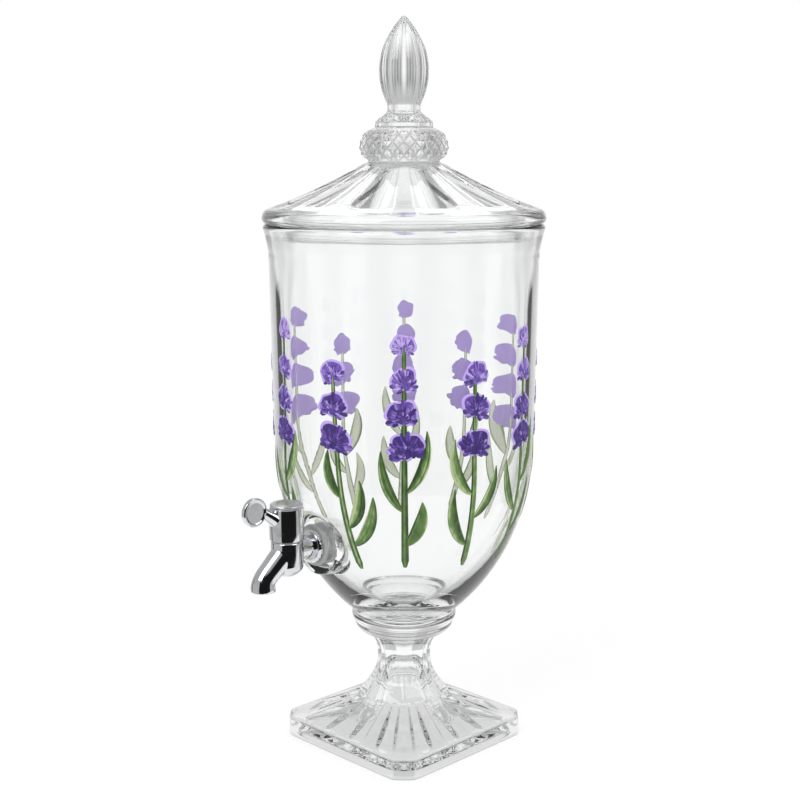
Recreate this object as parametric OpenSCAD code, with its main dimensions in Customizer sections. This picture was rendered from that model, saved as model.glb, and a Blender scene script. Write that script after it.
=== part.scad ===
// Glass beverage dispenser: footed urn, lift-off lid with a bud finial, quarter-turn tap.
// Millimetres, +Z up. The origin is the centre of the square foot's resting face.
// The tap points to -Y, and the sides of the square foot lie along X and Y.

/* [Foot] */
// Side of the square slab
slab_side = 105.4; // [96:0.2:120]
// Width of the flat across each cut corner
corner_flat = 12.9; // [6:0.1:20]
// Height of the slab
slab_h = 11.5; // [8:0.5:15]
// Bevel round the top of the slab
slab_bevel = 0.8; // [0.4:0.1:1.5]
// Flat border left round the fluted pyramid
slab_border = 2.5; // [1.5:0.1:4]
// Height of the pyramid above the slab
pyramid_h = 14.5; // [10:0.5:18]
// Number of flutes round the pyramid
foot_flutes = 16; // [8:8:16]
// Depth of the flutes on the pyramid
foot_flute_depth = 2.2; // [0.8:0.1:3]
// Corner radius of the lip between stem and pyramid
lip_ring_r = 26.6; // [24:0.2:30]
// Height of that lip
lip_ring_h = 2; // [1:0.1:4]
// Corner radius of the stem at its waist
waist_r = 15.6; // [14.5:0.1:18]
// Height of the waist above the resting face
waist_z = 49; // [46:0.5:52]
// Corner radius of the stem's flared top
stem_top_r = 20.6; // [19:0.1:24]
// Whole height of the foot
foot_h = 63; // [60:0.5:72]
// Half the side of the square hollow at the resting face
hollow_r = 45.2; // [38:0.2:47]
// Height of the steep edge of the hollow
hollow_edge = 3.2; // [2:0.2:6]
// Height of the hollow where the bore of the stem begins
dome_h = 10.5; // [8:0.5:14]
// Radius of the bore where it begins
bore_foot_r = 21; // [18:0.5:23]
// Radius of the bore at its top
hollow_top_r = 9; // [7:0.2:10]
// Height of the hollow
hollow_h = 50; // [42:0.5:53]
// Thickness of the adhesive film between foot and tank
bond_t = 0.3; // [0.2:0.1:0.6]

/* [Tank] */
// Height of the tank from its pad to its rim
tank_h = 239; // [225:1:260]
// Height of the curved bowl
bowl_h = 118; // [110:1:126]
// Outer radius where the bowl meets the straight wall
body_r = 74.2; // [71:0.2:75]
// Outer radius of the wall under the flared lip
mouth_r = 76; // [75.2:0.2:77]
// Outer radius of the lip
lip_r = 79; // [78:0.2:82]
// Height of the flare below the rim
flare_h = 18; // [12:1:26]
// Half the thickness of the round lip
bead_r = 2.6; // [2.2:0.1:3]
// Thickness of the wall
wall = 4; // [3.2:0.1:4.8]
// Thickness of the glass under the bowl
floor_t = 12; // [10:0.5:24]
// Radius of the collar under the bowl
collar_r = 30.3; // [28:0.1:32]
// Height of the collar's rounded underside
collar_h = 8; // [6:0.5:9]
// Radius of the pad on the foot
pad_r = 20.6; // [19.5:0.1:24]

/* [Lid] */
// How far the lid stands out over the tank's lip
lid_overhang = 0.5; // [0:0.1:1.5]
// Gap between lid and rim
lid_gap = 0.3; // [0.2:0.1:0.6]
// Height of the rounded edge
lid_edge_h = 7.7; // [6.5:0.1:9]
// Height of the cone above the edge
cone_h = 26; // [22:0.5:30]
// How far the cone sags between its edge and the crown
cone_sag = 1.5; // [0:0.1:2.5]
// Radius of the crown that carries the finial
crown_r = 19.6; // [17.5:0.1:22]
// Thickness of the lid
lid_t = 5.6; // [5:0.1:6.5]
// Depth of the flange that drops into the mouth
flange_h = 7; // [4:0.5:10]
// Thickness of the flange
flange_t = 4.6; // [3.5:0.1:6]
// Clearance of the flange in the mouth
flange_clear = 1.2; // [0.8:0.1:2]
// Number of flutes on the cone
lid_flutes = 12; // [8:1:12]
// Plain band between the crown and the flutes
flute_band = 1.9; // [1:0.1:8]
// Plain border between the flutes and the edge
flute_border = 9.5; // [7:0.5:14]
// Depth of a flute at its upper end
flute_start_depth = 0.8; // [0.6:0.1:1.4]
// Depth of a flute at its lower end
flute_end_depth = 2.4; // [1.2:0.1:2.6]
// Share of the pitch that a flute takes up
flute_share = 0.72; // [0.5:0.02:0.8]

/* [Finial] */
// Height of the hobnail ring with its necks
ring_h = 18; // [15:0.5:23]
// Number of rows of half diamonds on the ring
ring_rows = 5; // [4:1:8]
// Radius of the ring between its diamonds
ring_r = 23.8; // [22.5:0.1:26]
// Radius above the ring
ring_top_r = 17.6; // [17:0.1:20]
// Height of a diamond over the ring
diamond = 1.2; // [0.4:0.1:1.4]
// Height of the six-sided skirt
skirt_h = 11.8; // [9:0.1:15]
// Corner radius of the skirt
skirt_r = 17.2; // [15:0.1:17.5]
// Corner radius of the neck over the skirt
neck_r = 9.9; // [8.5:0.1:11]
// Height of the bud
bud_h = 47.5; // [42:0.5:58]
// Height of the bud's widest place over its foot
bud_belly = 18.5; // [14:0.5:22]
// Corner radius of the bud at its belly
bud_r = 14.8; // [12.5:0.1:17]

/* [Tap] */
// Height of the tap's shank over the resting face
tap_z = 129.5; // [126:0.5:138]
// Radius of the moulded boss round the tap hole
boss_r = 16.5; // [15.5:0.1:18]
// How far the boss stands proud of the bowl
boss_proud = 3.2; // [2.6:0.1:4]
// Thickness of the glass at the boss
boss_t = 8; // [7:0.1:9]
// Radius of the shank
shank_r = 8; // [7.4:0.1:8.4]
// Radial clearance of the shank in the glass
shank_clear = 0.6; // [0.4:0.1:0.9]
// Radius of the waterway
port_r = 4; // [3.2:0.1:4.3]
// Radius of the outer gasket
gasket_r = 11.6; // [11:0.1:13]
// Thickness of either gasket
gasket_t = 2.4; // [1.6:0.1:3.2]
// Thickness of the inner washer
washer_t = 1.2; // [0.8:0.1:2]
// Corner radius of the inner nut
nut_r = 13; // [12:0.1:13.6]
// Thickness of the inner nut
nut_t = 6; // [5:0.5:8]
// Radius of the tap's collar
tap_collar_r = 9.6; // [9.2:0.1:10.6]
// Thickness of the tap's collar
tap_collar_t = 3.4; // [2.6:0.1:4.4]
// Distance from the gasket to the axis of the barrel
tap_reach = 18.1; // [17:0.1:22]
// Radius of the barrel
barrel_r = 8.7; // [8.4:0.1:8.9]
// Height of the barrel over the shank's axis
barrel_up = 6.8; // [6.4:0.1:8]
// Depth of the barrel's domed end below the shank's axis
barrel_down = 13.5; // [13:0.1:15]
// Radius of the spout
spout_r = 6.2; // [5.8:0.1:6.4]
// Downward slope of the spout in degrees
spout_slope = 40; // [36:1:44]
// Bend radius of the spout's axis
spout_bend = 8; // [7:0.5:10]
// Distance from the barrel's axis to the spout's outlet
spout_reach = 17; // [16:0.5:20]
// Length of the spout's upright end
spout_end = 1.8; // [1:0.1:4]

/* [Plug] */
// Radius of the turning plug
plug_r = 6; // [5.6:0.1:6.2]
// Running clearance of the plug
run_clear = 0.05; // [0.02:0.01:0.08]
// Depth of the plug's foot below the shank's axis
plug_down = 9.8; // [9:0.1:10]
// Height of the plug's shoulder over the barrel
plug_up = 4.5; // [4:0.1:6]
// Distance of either seal from the shank's axis
seal_offset = 6.9; // [6:0.1:7.4]
// Half the thickness of a seal
seal_r = 0.85; // [0.6:0.05:1]
// Radius of the plug's stem
stem_r = 3.5; // [3.2:0.1:3.8]
// Side of the square drive
drive = 5; // [4.6:0.1:5.6]
// Height of the square drive
drive_h = 7; // [6:0.2:9]

/* [Handle] */
// Radius of the hub
hub_r = 9.4; // [9.2:0.1:10.4]
// Thickness of the hub's side
hub_wall = 1.2; // [1:0.1:1.4]
// Gap between hub and barrel
hub_gap = 0.3; // [0.2:0.1:0.6]
// Wall of the barrel's neck and of the bonnet nut over it
neck_wall = 0.85; // [0.7:0.05:0.95]
// Thickness of the bonnet nut's top
bonnet_t = 1.9; // [1.4:0.1:2.4]
// Depth of the recess for the screw's head
screw_recess = 2.2; // [2:0.1:3]
// Depth of the seat of the cap
cap_seat = 2.4; // [1.8:0.1:3.2]
// Width of the ledge that carries the cap
cap_ledge = 1; // [0.7:0.1:1.4]
// Height of the raised ring on the cap
cap_ring_h = 1.8; // [0.8:0.1:2.4]
// Radius of the paddle
paddle_r = 7.75; // [6.5:0.05:9]
// Thickness of the paddle
paddle_t = 3; // [2.4:0.1:4]
// Depth of the dish in either face of the paddle
paddle_dish = 0.5; // [0.3:0.1:0.8]
// Distance from the barrel's axis to the paddle's centre
paddle_reach = 22; // [20:0.5:27]
// Height of the paddle's centre over the hub's top
paddle_rise = 0.4; // [-2:0.1:2]
// Radius of the lever's neck at the hub
lever_root_r = 4.4; // [3.6:0.1:5]
// Radius of the lever's neck at the paddle
lever_tip_r = 2.9; // [2.2:0.1:3.4]
// Radius of the screw's thread
screw_r = 1.5; // [1.2:0.1:1.8]
// Length of the screw below its head
screw_len = 9; // [7:0.5:12]

/* [Hidden] */
$fn = 96;
glass = [0.86, 0.92, 0.93, 0.45];
chrome = [0.78, 0.79, 0.81];
silicone = [0.62, 0.63, 0.62];
plastic = [0.92, 0.92, 0.90];
rubber = [0.12, 0.12, 0.13];
eps = 0.01;
fit = 0.05;
// How far a cut runs past what it cuts, and how far joined solids lap
over = 1;
end_gap = 0.2;

// Foot
foot_n = foot_flutes * 4;
slab_half = slab_side / 2;
corner_reach = (slab_side - corner_flat / sqrt(2)) / sqrt(2);
pyramid_top = slab_h + pyramid_h;
pyramid_sink = 0.5;
flute_fade = 0.6;
lip_step = 1;
stem_sides = 8;
stem_top_power = 2.4;
stem_foot_power = 2.1;
flute_pitch = 360 / foot_flutes;
hollow_round = 3;
hollow_taper = 2;
hollow_taper_z = waist_z - 8;
hollow_draft = 1.8;
// Power of the rounded square: the higher, the sharper its corners
hollow_square = 9;
square_margin = 5;
dome_round = 4;
dome_lift = 1.5;
bore_flare = 5;
bond_inset = 0.4;
lip_ring_z = pyramid_top + lip_ring_h;
hollow_knee = pyramid_top - lip_ring_h * 2;

// Tank
tank_z = foot_h + bond_t;
rim_z = tank_z + tank_h;
bowl_top = tank_z + bowl_h;
flare_z = rim_z - flare_h;
floor_z = tank_z + floor_t;
pad_h = 1;
collar_step = 1.5;
collar_z = tank_z + collar_h + 4;
flare_power = 1.6;
bead_at = lip_r - bead_r;
bowl_power = 2.15;
bowl_round = 0.68;

// Lid and finial
lid_z = rim_z + lid_gap;
edge_z = lid_z + lid_edge_h;
crown_z = edge_z + cone_h;
lid_r = max(lip_r, body_r) + lid_overhang;
lid_round = 4;
cone_foot_r = lid_r - lid_round;
flute_wall = 0.5;
flute_start_r = crown_r + flute_band;
flute_end_r = cone_foot_r - flute_border;
flute_foot_r = flute_end_r - flute_wall;
flange_r = bead_at - bead_r - flange_clear;
flange_in = flange_r - flange_t;
flange_z = lid_z - flange_h;
flange_bevel = 0.8;
lid_knee = 3;
lid_lip = 1.2;
lid_foot_h = 2;
rib_at = 45;
finial_n = 48;
ring_step = 0.6;
ring_lift = 0.4;
ring_round = 0.7;
skirt_step = 1;
skirt_bevel = 0.4;
// Shares of the skirt's height between which it draws in to the neck
skirt_from = 0.12;
skirt_to = 0.74;
bud_pinch = 0.34;
bud_close = 0.93;
ring_z = crown_z + ring_h;
skirt_z = ring_z + skirt_step;
neck_z = skirt_z + skirt_h;
belly_z = neck_z + bud_belly;
tip_z = neck_z + bud_h;

// Tap, measured outwards from the urn's axis
boss_face = bowl_outer(tap_z) + boss_proud;
boss_back = boss_face - boss_t;
inner_pad_margin = 0.8;
inner_pad_r = max(nut_r, gasket_r) + inner_pad_margin;
collar_x = boss_face + gasket_t;
barrel_x = collar_x + tap_reach;
washer_x = boss_back - gasket_t - washer_t;
nut_x = washer_x - nut_t;
shank_over = 2;
shank_end = nut_x - shank_over;
barrel_top = tap_z + barrel_up;
barrel_foot = tap_z - barrel_down;
barrel_dome = 6.5;
barrel_bevel = 0.8;
tap_neck_r = min(tap_collar_r, barrel_up) - hub_gap;
neck_out = plug_r + run_clear + neck_wall;
plug_foot = tap_z - plug_down;
plug_top = barrel_top + plug_up;
bonnet_gap = 0.6;
bonnet_bevel = 0.5;
bonnet_foot = barrel_top + bonnet_gap;
bonnet_roof = plug_top + end_gap;
bonnet_top = bonnet_roof + bonnet_t;
bonnet_r = neck_out + neck_wall + 3 * fit;
stem_z = bonnet_top + end_gap;
spout_root = [3, -1];
spout_swell = 0.7;
spout_from = [barrel_x, tap_z] + spout_root;
bend_x = barrel_x + spout_reach - spout_bend;
bend_in_x = bend_x + spout_bend * sin(spout_slope);
bend_in = [bend_in_x, spout_from[1] - (bend_in_x - spout_from[0]) * tan(spout_slope)];
bend_z = bend_in[1] - spout_bend * cos(spout_slope);
spout_step = 0.15;
outlet_z = bend_z - spout_end;
hub_foot = barrel_top + hub_gap;
hub_bore = hub_r - hub_wall;
hub_bevel = 0.6;
hub_roof = bonnet_top + 2 * end_gap;
drive_top = hub_roof + drive_h;
head_z = drive_top + end_gap;
ledge_z = head_z + screw_recess;
hub_top = ledge_z + cap_seat;
hub_rim = 2.2;
cap_r = hub_r - hub_rim;
cap_hole_r = cap_r - cap_ledge;
cap_crown = 0.9;
cap_fillet = 0.4;
cap_ring_w = 0.8;
paddle_rim = 1.4;
paddle_drop = 1.5;
screw_pilot = 0.5;
screw_head_r = 2.4 * screw_r;
screw_slot = 0.8;
paddle_x = barrel_x + paddle_reach;
paddle_z = hub_top + paddle_rise;

// Radius of the bowl at a height, for a given top radius and depth
function bowl_radius(z, r, depth) =
    let (t = min(1, max(0, (bowl_top - z) / depth)))
    r * pow(1 - pow(t, bowl_power), bowl_round);
function bowl_outer(z) = bowl_radius(z, body_r, bowl_h);
function bowl_inner(z) = bowl_radius(z, body_r - wall, bowl_top - floor_z);
// Distance from the axis to the edge of the slab, drawn in by an inset
function slab_reach(a, inset) =
    let (b = ((a % 90) + 90) % 90, h = slab_half - inset)
    min(h / max(cos(b), eps), h / max(sin(b), eps), (corner_reach - inset) / cos(b - 45));
// Distance from the axis to a regular polygon with corners at the angle "at" and each step of 360 / n
function facet_r(r, a, n, at) =
    let (step = 360 / n, b = (((a - at) % step) + step) % step)
    r * cos(step / 2) / cos(b - step / 2);
function polar(r, a, z) = [r * cos(a), r * sin(a), z];
function arc(centre, r, from, to, steps) =
    [for (i = [0:steps]) let (a = from + (to - from) * i / steps) centre + r * [cos(a), sin(a)]];

// Closed solid through rings of equal count, listed from the lowest to the highest
module loft(rings) {
    n = len(rings[0]);
    m = len(rings);
    points = [for (ring = rings) each ring];
    sides = [for (j = [0:m - 2], i = [0:n - 1])
        let (k = (i + 1) % n, a = j * n + i, b = j * n + k, c = b + n, d = a + n)
        each (i + j) % 2 == 0 ? [[a, d, b], [b, d, c]] : [[a, c, b], [a, d, c]]];
    ends = [[for (i = [0:n - 1]) i], [for (i = [n - 1:-1:0]) (m - 1) * n + i]];
    polyhedron(points = points, faces = concat(sides, ends), convexity = 8);
}

// Stem radius at its corners by height
function stem_radius(z) = z > waist_z
    ? waist_r + (stem_top_r - waist_r) * pow((z - waist_z) / (foot_h - waist_z), stem_top_power)
    : waist_r + (lip_ring_r - waist_r) * pow((waist_z - z) / (waist_z - lip_ring_z), stem_foot_power);

// One ring of the fluted pyramid, from the lip at 0 to the slab's border at 1
function pyramid_ring(s) = [for (i = [0:foot_n - 1])
    let (a = 360 * i / foot_n,
         from = facet_r(lip_ring_r - lip_step, a, stem_sides, rib_at),
         r = from + (slab_reach(a, slab_border) - from) * s,
         across = 2 * ((((a - rib_at) % flute_pitch) + flute_pitch) % flute_pitch) / flute_pitch - 1,
         dip = foot_flute_depth * (1 - across * across) * pow(sin(180 * s), flute_fade))
    polar(r, a, pyramid_top - (pyramid_h + pyramid_sink) * s - dip)];
function stem_ring(r, z) = [for (i = [0:foot_n - 1])
    let (a = 360 * i / foot_n) polar(facet_r(r, a, stem_sides, rib_at), a, z)];

// One ring of the hollow: round in the bore, a square with round corners at the resting face
function hollow_ring(r, z) =
    let (round_r = bore_foot_r - dome_round,
         t = min(1, max(0, (r - round_r) / (hollow_r - square_margin - round_r))),
         share = t * t * (3 - 2 * t))
    [for (i = [0:foot_n - 1])
        let (a = 360 * i / foot_n,
             powers = pow(abs(cos(a)), hollow_square) + pow(abs(sin(a)), hollow_square),
             square = pow(powers, -1 / hollow_square))
        polar(r * (1 + (square - 1) * share), a, z)];

// Square slab with cut corners and a bevel along each upper edge
module slab() difference() {
    h = slab_half;
    d = h - corner_flat / sqrt(2);
    linear_extrude(slab_h)
        polygon([[h, -d], [h, d], [d, h], [-d, h], [-h, d], [-h, -d], [-d, -h], [d, -h]]);
    for (i = [0:7])
        rotate([0, 0, 45 * i]) translate([i % 2 ? corner_reach : h, 0, slab_h - slab_bevel])
            rotate([0, -45, 0]) translate([0, -h, 0]) cube([4 * slab_bevel, slab_side, 4 * slab_bevel]);
}

module foot() color(glass) {
    pyramid_steps = 7;
    stem_steps = 10;
    dome_steps = 4;
    dome_edge = [hollow_r - hollow_draft, hollow_edge];
    dome_top = [bore_foot_r, dome_h];
    difference() {
        union() {
            slab();
            loft(concat(
                [[for (p = pyramid_ring(1)) [p[0], p[1], slab_h - over]]],
                [for (i = [pyramid_steps:-1:0]) pyramid_ring(i / pyramid_steps)],
                [stem_ring(lip_ring_r, pyramid_top + lip_ring_h / 2)],
                [for (i = [0:stem_steps])
                    let (z = lip_ring_z + (foot_h - lip_ring_z) * i / stem_steps)
                    stem_ring(stem_radius(z), z)]));
        }
        loft([for (p = concat(
            [[hollow_r + hollow_draft * over / hollow_edge, -over]],
            [for (i = [0:dome_steps]) dome_edge + (dome_top - dome_edge) * i / dome_steps],
            [[bore_foot_r - dome_round, dome_h + dome_lift], [hollow_top_r + bore_flare, hollow_knee],
             [hollow_top_r + hollow_taper, hollow_taper_z], [hollow_top_r, hollow_h - hollow_round],
             [hollow_top_r - hollow_round, hollow_h]])) hollow_ring(p[0], p[1])]);
    }
}

module bond_layer() color(glass)
    translate([0, 0, foot_h])
        cylinder(r = min(pad_r, stem_top_r * cos(180 / stem_sides)) - bond_inset, h = bond_t);

// Points of the tank's wall, outside from the pad up and inside back down
function tank_outside() =
    let (under = collar_h - pad_h, steps = 16,
         z0 = collar_z + pad_h,
         zs = [for (i = [0:steps]) z0 + (bowl_top - z0) * i / steps])
    concat([[0, tank_z], [pad_r, tank_z]],
        [for (i = [0:4]) let (a = 90 * i / 4)
            [pad_r + (collar_r - collar_step - pad_r) * sin(a), tank_z + pad_h + under * (1 - cos(a))]],
        [[collar_r, collar_z]],
        [for (z = zs) if (bowl_outer(z) > collar_r) [bowl_outer(z), z]],
        [for (i = [0:5]) let (t = i / 5)
            [mouth_r + (lip_r - mouth_r) * pow(t, flare_power), flare_z + (rim_z - bead_r - flare_z) * t]],
        arc([bead_at, rim_z - bead_r], bead_r, 20, 160, 7));
function tank_inside() =
    let (steps = 16, drop = bowl_top - floor_z)
    concat([[bead_at - bead_r, rim_z - bead_r], [mouth_r - wall, flare_z]],
        [for (i = [0:steps - 1]) let (z = bowl_top - drop * sin(90 * i / steps)) [bowl_inner(z), z]],
        [[0, floor_z]]);

// Cylinder on the shank's axis, from x0 outwards to x1
module on_shank(x0, x1, r, sides = 0)
    translate([x0, 0, tap_z]) rotate([0, 90, 0]) cylinder(r = r, h = x1 - x0, $fn = sides ? sides : $fn);

// Everything of the tap is drawn outwards along +X and turned to the front
module to_front() rotate([0, 0, -90]) children();

module tank() color(glass) difference() {
    inside = tank_inside();
    union() {
        difference() {
            union() {
                rotate_extrude() polygon(concat(tank_outside(), inside));
                to_front() on_shank(bowl_inner(tap_z + boss_r) - boss_r, boss_face, boss_r);
            }
            rotate_extrude() polygon(concat(inside, [[0, rim_z + over], [bead_at - bead_r, rim_z + over]]));
        }
        to_front() on_shank(boss_back, boss_face - over, inner_pad_r);
    }
    to_front() {
        on_shank(boss_face, boss_face + boss_r, boss_r);
        on_shank(boss_back - boss_r, boss_back, inner_pad_r);
        on_shank(boss_back - over, boss_face + over, shank_r + shank_clear);
    }
}

// Fall of the lid's cone from its crown at one radius to its foot at another, with the sag between them
function cone_fall(r, from, to, drop) =
    let (t = (r - from) / (to - from))
    drop * t + 4 * cone_sag * t * (1 - t);

// One ring of the fluted cone, with its points on the edges and in the troughs of the flutes
function cone_ring(r, depth) =
    let (pitch = 360 / lid_flutes, places = [-1, for (k = [-3:3]) flute_share * k / 3])
    [for (i = [0:lid_flutes - 1], o = places)
        let (across = min(1, abs(o) / flute_share),
             z = crown_z - cone_fall(r, crown_r, cone_foot_r, cone_h))
        polar(r, rib_at + pitch * (i + 0.5 + o / 2), z - depth * (1 - across * across))];
function level_ring(r, z) = [for (p = cone_ring(r, 0)) [p[0], p[1], z]];

module lid_plate() difference() {
    flute_steps = 7;
    roof_steps = 5;
    roof_r = crown_r - lid_round;
    union() {
        loft(concat(
            [level_ring(lid_r - lid_lip, lid_z)],
            [for (i = [0:6]) let (a = 90 * i / 6, z = lid_foot_h + (lid_edge_h - lid_foot_h) * sin(a))
                level_ring(cone_foot_r + lid_round * cos(a), lid_z + z)],
            [cone_ring(flute_end_r, 0)],
            [for (i = [0:flute_steps]) let (t = i / flute_steps)
                cone_ring(flute_foot_r + (flute_start_r - flute_foot_r) * t,
                    flute_end_depth + (flute_start_depth - flute_end_depth) * t)],
            [cone_ring(flute_start_r - flute_wall, 0), cone_ring(crown_r, 0)]));
        rotate_extrude() polygon([[flange_in + flange_bevel, flange_z], [flange_r - flange_bevel, flange_z],
            [flange_r, flange_z + flange_bevel], [flange_r, lid_z + over], [flange_in - over, lid_z + over],
            [flange_in - over, flange_z + flange_bevel + over]]);
    }
    rotate_extrude() polygon(concat(
        [[0, flange_z - over], [flange_in, flange_z - over]],
        [for (i = [0:roof_steps]) let (r = flange_in + (roof_r - flange_in) * i / roof_steps)
            [r, crown_z - lid_t - cone_fall(r, roof_r, flange_in, cone_h - lid_knee)]],
        [[0, crown_z - lid_t]]));
}

function round_ring(r, z, bump, j) = [for (i = [0:finial_n - 1])
    polar(r + ((i + j) % 2 == 0 ? bump : 0), 360 * i / finial_n, z)];
function six_ring(r, z) = [for (i = [0:finial_n - 1])
    let (a = 360 * i / finial_n) polar(facet_r(r, a, 6, rib_at), a, z)];
// Bud radius by height: two parabolas that meet at the belly
function bud_radius(z) = z < belly_z
    ? bud_r * (1 - bud_pinch * pow((belly_z - z) / bud_belly, 2))
    : bud_r * (1 - bud_close * pow((z - belly_z) / (tip_z - belly_z), 2));

module finial() {
    skirt_steps = 8;
    bud_steps = 14;
    bulge = function(s) (crown_r + (ring_top_r - crown_r) * s)
        + (ring_r - (crown_r + ring_top_r) / 2) * pow(sin(180 * s), ring_round);
    bell = function(s)
        let (t = min(1, max(0, (s - skirt_from) / (skirt_to - skirt_from))))
        1 - t * t * (3 - 2 * t);
    loft(concat(
        [for (dz = [-over, ring_lift]) round_ring(crown_r - ring_step, crown_z + dz, 0, 0)],
        [for (j = [1:2 * ring_rows]) let (s = j / ring_rows / 2)
            round_ring(bulge(s), crown_z + ring_h * s, j % 2 == 0 && s < 1 ? diamond : 0, j / 2)],
        [six_ring(skirt_r - skirt_bevel, ring_z + skirt_bevel)],
        [for (j = [0:skirt_steps]) let (s = j / skirt_steps)
            six_ring(neck_r + (skirt_r - neck_r) * bell(s), skirt_z + skirt_h * s)],
        [for (j = [1:bud_steps]) let (z = neck_z + bud_h * sin(90 * j / bud_steps))
            j < bud_steps ? six_ring(bud_radius(z), z) : round_ring(bud_radius(z), z, 0, 0)]));
}

module lid() color(glass) union() {
    lid_plate();
    finial();
}

module ring_on_shank(x0, x1, outer, inner, sides = 0) difference() {
    on_shank(x0, x1, outer, sides);
    on_shank(x0 - over, x1 + over, inner);
}

module outer_gasket() color(silicone)
    to_front() ring_on_shank(boss_face, collar_x, gasket_r, shank_r + fit);

module inner_gasket() color(silicone)
    to_front() ring_on_shank(boss_back - gasket_t, boss_back, gasket_r, shank_r + fit);

module inner_washer() color(plastic)
    to_front() ring_on_shank(washer_x, washer_x + washer_t, gasket_r, shank_r + fit);

module inner_nut() color(plastic)
    to_front() ring_on_shank(nut_x, washer_x, nut_r, shank_r + fit, 6);

// Spout along its axis: a tapering run that ends inside the bend, the bend and an upright end
module spout_run(root_r, r, past) {
    run = norm([bend_in[0] - spout_from[0], bend_in[1] - spout_from[1]]);
    translate([spout_from[0], 0, spout_from[1]]) rotate([0, 90 + spout_slope, 0])
        cylinder(r1 = root_r, r2 = r - spout_step, h = run + over);
    translate([bend_x, 0, bend_z]) rotate([90, 0, 0])
        rotate_extrude(angle = 90 - spout_slope) translate([spout_bend, 0]) circle(r = r);
    translate([bend_x + spout_bend, 0, outlet_z - past])
        cylinder(r = r + spout_step, h = spout_end + past + over / 2);
}

module at_barrel() translate([barrel_x, 0, 0]) children();

module tap_body() color(chrome) to_front() difference() {
    union() {
        on_shank(shank_end, collar_x, shank_r);
        on_shank(collar_x, collar_x + tap_collar_t, tap_collar_r);
        on_shank(collar_x + tap_collar_t, barrel_x, tap_neck_r);
        at_barrel() rotate_extrude() polygon(concat(
            [for (i = [0:6]) let (a = 90 * i / 6)
                [barrel_r * sin(a), barrel_foot + barrel_dome * (1 - cos(a))]],
            [[barrel_r, barrel_top - barrel_bevel], [barrel_r - barrel_bevel, barrel_top],
             [neck_out, barrel_top], [neck_out, plug_top], [0, plug_top]]));
        spout_run(spout_r + spout_swell, spout_r, 0);
    }
    at_barrel() translate([0, 0, plug_foot - end_gap])
        cylinder(r = plug_r + run_clear, h = plug_top - plug_foot + over);
    on_shank(shank_end - over, barrel_x, port_r);
    spout_run(port_r, port_r, over);
}

module bonnet_nut() color(plastic) to_front() at_barrel() rotate_extrude()
    polygon([[neck_out + fit, bonnet_foot], [bonnet_r, bonnet_foot], [bonnet_r, bonnet_top - bonnet_bevel],
        [bonnet_r - bonnet_bevel, bonnet_top], [stem_r + run_clear, bonnet_top],
        [stem_r + run_clear, bonnet_roof], [neck_out + fit, bonnet_roof]]);

// Seal heights on the plug
seal_up = tap_z + seal_offset;
seal_low = tap_z - seal_offset;
function groove(z) = [[plug_r, z - seal_r - fit], [plug_r - 2 * seal_r - fit, z - seal_r - fit],
    [plug_r - 2 * seal_r - fit, z + seal_r + fit], [plug_r, z + seal_r + fit]];

module plug() color(plastic) to_front() at_barrel() difference() {
    union() {
        rotate_extrude() polygon(concat([[0, plug_foot], [plug_r, plug_foot]], groove(seal_low),
            groove(seal_up), [[plug_r, plug_top], [stem_r, plug_top], [stem_r, stem_z], [0, stem_z]]));
        translate([-drive / 2, -drive / 2, stem_z]) cube([drive, drive, drive_top - stem_z]);
    }
    translate([0, 0, tap_z]) rotate([90, 0, 0]) cylinder(r = port_r, h = 4 * plug_r, center = true);
    translate([0, 0, head_z - screw_len - screw_pilot])
        cylinder(r = screw_r + fit, h = screw_len + screw_pilot);
}

module seal(z) color(rubber) to_front() at_barrel() translate([0, 0, z])
    rotate_extrude() translate([plug_r - seal_r, 0]) circle(r = seal_r);
module plug_seal_upper() seal(seal_up);
module plug_seal_lower() seal(seal_low);

module paddle() translate([paddle_x, 0, paddle_z]) rotate([90, 0, 0]) difference() {
    cylinder(r = paddle_r, h = paddle_t, center = true);
    for (side = [-1, 1])
        translate([0, 0, side * paddle_t / 2])
            cylinder(r = paddle_r - paddle_rim, h = 2 * paddle_dish, center = true);
}

module handle() color(chrome) to_front() union() {
    neck_from = [barrel_x + hub_bore, drive_top - over];
    neck_run = [paddle_x - paddle_r + over, paddle_z - paddle_drop] - neck_from;
    difference() {
        union() {
            at_barrel() rotate_extrude() polygon([[0, hub_foot], [hub_r - hub_bevel, hub_foot],
                [hub_r, hub_foot + hub_bevel], [hub_r, hub_top - hub_bevel], [hub_r - hub_bevel, hub_top],
                [0, hub_top]]);
            translate([neck_from[0], 0, neck_from[1]])
                rotate([0, atan2(neck_run[0], neck_run[1]), 0])
                    cylinder(r1 = lever_root_r, r2 = lever_tip_r, h = norm(neck_run));
        }
        at_barrel() {
            translate([0, 0, hub_foot - over]) cylinder(r = hub_bore, h = hub_roof - hub_foot + over);
            translate([-drive / 2 - fit, -drive / 2 - fit, hub_roof - over])
                cube([drive + 2 * fit, drive + 2 * fit, head_z - hub_roof + 2 * over]);
            translate([0, 0, head_z]) cylinder(r = cap_hole_r, h = hub_top);
            translate([0, 0, ledge_z]) cylinder(r = cap_r, h = hub_top);
        }
    }
    paddle();
}

module handle_screw() color(chrome) to_front() at_barrel() {
    translate([0, 0, head_z - screw_len]) cylinder(r = screw_r, h = screw_len);
    translate([0, 0, head_z]) difference() {
        cylinder(r = screw_head_r, h = screw_recess - 2 * end_gap);
        for (turn = [0, 90])
            rotate([0, 0, turn]) translate([-screw_r, -screw_slot / 2, screw_slot])
                cube([2 * screw_r, screw_slot, screw_recess]);
    }
}

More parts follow.
